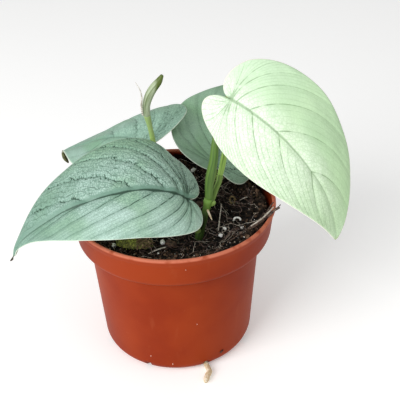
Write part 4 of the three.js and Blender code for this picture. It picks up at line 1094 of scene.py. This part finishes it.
# Silver leaf skin: satin, because the waxy skin scatters light over trapped air. The silver lies in cells,
# which give the blade its fine grain.
SATIN = {"Roughness": 0.45, "IOR": 1.42, "Specular IOR Level": 0.4}
SILVER_CELL = 1.25  # mm across
SILVER = {
    "light": "#b9d6ca", "mid": "#a6c4b6", "green": "#8ab68b", "halo": "#6c8f7e", "vein": "#2f4a3b",
    "underside": "#93a883", "margin": "#d5dfce", "tip": "#6b5a45", "base": "#b3d1bf", "end": "#557a67",
    "near side": "#c0dcd1",
}
BOLD_VEINS = {
    "net": 0.75, "flecks": 1, "fine veins": 0.6, "main veins": 1,
    "bands": 0.3, "green": 0.55, "ragged": 0.7,
}
silver = leaf_skin("silver leaf skin", SILVER, SILVER_CELL, BOLD_VEINS, SATIN)
# The leaf behind it is duller, and has fainter veins.
DULLER_SILVER = {
    **SILVER,
    "light": "#a4c7b5", "mid": "#93b6a3", "green": "#7fad83", "base": "#a3c6b4", "end": "#8bb09b",
}
FAINT_VEINS = {
    "net": 0.45, "flecks": 0.5, "fine veins": 0.2, "main veins": 0.4,
    "bands": 0.1, "green": 0.7, "ragged": 0.5,
}
faint = leaf_skin("silver leaf skin with faint veins", DULLER_SILVER, SILVER_CELL, FAINT_VEINS, SATIN)
# The leaf in the middle stands in deep shade: its skin is a greener, darker copy of the silver with that
# shade painted in, darkest towards the notch.
SHADED = {
    "light": "#abd0b2", "mid": "#a2c6a9", "green": "#8bb88a", "halo": "#5c7a68", "vein": "#2f4638",
    "underside": "#7d9170", "margin": "#cdd8ca", "tip": "#6b5a45", "base": "#536c5a", "end": "#6f8c6e",
    "near side": "#a2c4aa",
}
SOFT_VEINS = {
    "net": 0.5, "flecks": 0.9, "fine veins": 0.18, "main veins": 0.55,
    "bands": 0.15, "green": 0.8, "ragged": 0.6,
}
shaded = leaf_skin("silver leaf skin with painted shade", SHADED, SILVER_CELL, SOFT_VEINS, SATIN)
# The newest leaf has hardly any green yet, so it is almost white, with a fine green net.
PALE = {
    "light": "#e6f5df", "mid": "#dff1d8", "green": "#cde7be", "halo": "#a0c391", "vein": "#6b8b5e",
    "underside": "#cfe3bb", "margin": "#e6e0d6", "tip": "#a9bd8c", "base": "#dcf1d9", "end": "#b4d8a2",
    "near side": "#aacc9f",
}
FINE_VEINS = {
    "net": 0.36, "flecks": 0.06, "fine veins": 0.36, "main veins": 0.6,
    "bands": 0.05, "green": 0.35, "ragged": 0.1,
}
PALE_CELL = 1.7  # mm across
pale = leaf_skin("pale young leaf skin", PALE, PALE_CELL, FINE_VEINS, SATIN)

for leaf_name, skin, slot, furrows in (
    ("front_leaf", silver, "silver_leaf", 1),
    ("back_leaf", faint, "silver_leaf", 0.7),
    ("middle_leaf", shaded, "dark_leaf", 0.7),
    ("pale_leaf", pale, "pale_leaf", 0.5),
):
    piece(leaf_name + "_blade", blade_mesh(LEAVES[leaf_name], furrows), skin, [leaf_name])

# The back leaf's drip tip curls down behind the blade's end; its dark olive brown is painted shade on the
# dull underside.
dark_tip = two_tone("olive leaf tip in painted shade", "#23260f", "#5c6035", 4, {"Roughness": 0.6})
tip_curl = [[-64.6, 29, 114.1, 0.5], [-64.5, 29.8, 111.2, 1.2]]
tip_curl += [[-63.7, 30.1, 107.8, 1.3], [-62.3, 29.8, 105.2, 0.5]]
piece("back_leaf_tip_curl", stalk(tip_curl, sides=24, steps=40, ridge=rolled), dark_tip)

# The floor and the light
# A plain pale floor, a large soft key light from the front left, a weaker one from the right, and even white
# light from all round.

floor_mesh = bpy.data.meshes.new("floor")
floor_mesh.from_pydata([(-4, -4, 0), (4, -4, 0), (4, 4, 0), (-4, 4, 0)], [], [(0, 1, 2, 3)])
floor = bpy.data.objects.new("floor", floor_mesh)
bpy.context.collection.objects.link(floor)
floor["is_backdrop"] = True
# Matt white studio paper, which glows a little so that it stays pale in the plant's shade.
glow = {"Emission Color": (1, 1, 1, 1), "Emission Strength": 0.2}
paper = finish_named("matt white studio paper", {"Base Color": linear("#fbfbfa"), "Roughness": 0.9, **glow})
floor_mesh.materials.append(paper)

world = bpy.data.worlds.new("studio")
world.use_nodes = True
world.node_tree.nodes["Background"].inputs["Color"].default_value = (1, 1, 1, 1)
world.node_tree.nodes["Background"].inputs["Strength"].default_value = 0.48
bpy.context.scene.world = world


def soft_light(name, place, aim, size, power):
    """A square area light of that size in metres and power in watts, at place and aimed at aim."""
    lamp = bpy.data.objects.new(name, bpy.data.lights.new(name, "AREA"))
    lamp.data.size = size
    lamp.data.energy = power
    bpy.context.collection.objects.link(lamp)
    x, y, z = np.array(aim) - np.array(place)
    lamp.location = place
    lamp.rotation_euler = (math.atan2(math.hypot(x, y), -z), 0, math.atan2(y, x) - math.pi / 2)


soft_light("key", (-0.76, -0.72, 0.7), (0, 0, 0.1), 0.8, 13.5)
soft_light("fill", (0.9, -0.5, 0.9), (0, 0, 0.1), 1.2, 2.2)
bpy.context.scene.view_settings.view_transform = "Standard"

sizes = {"cad": cad_box, "visual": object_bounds()}
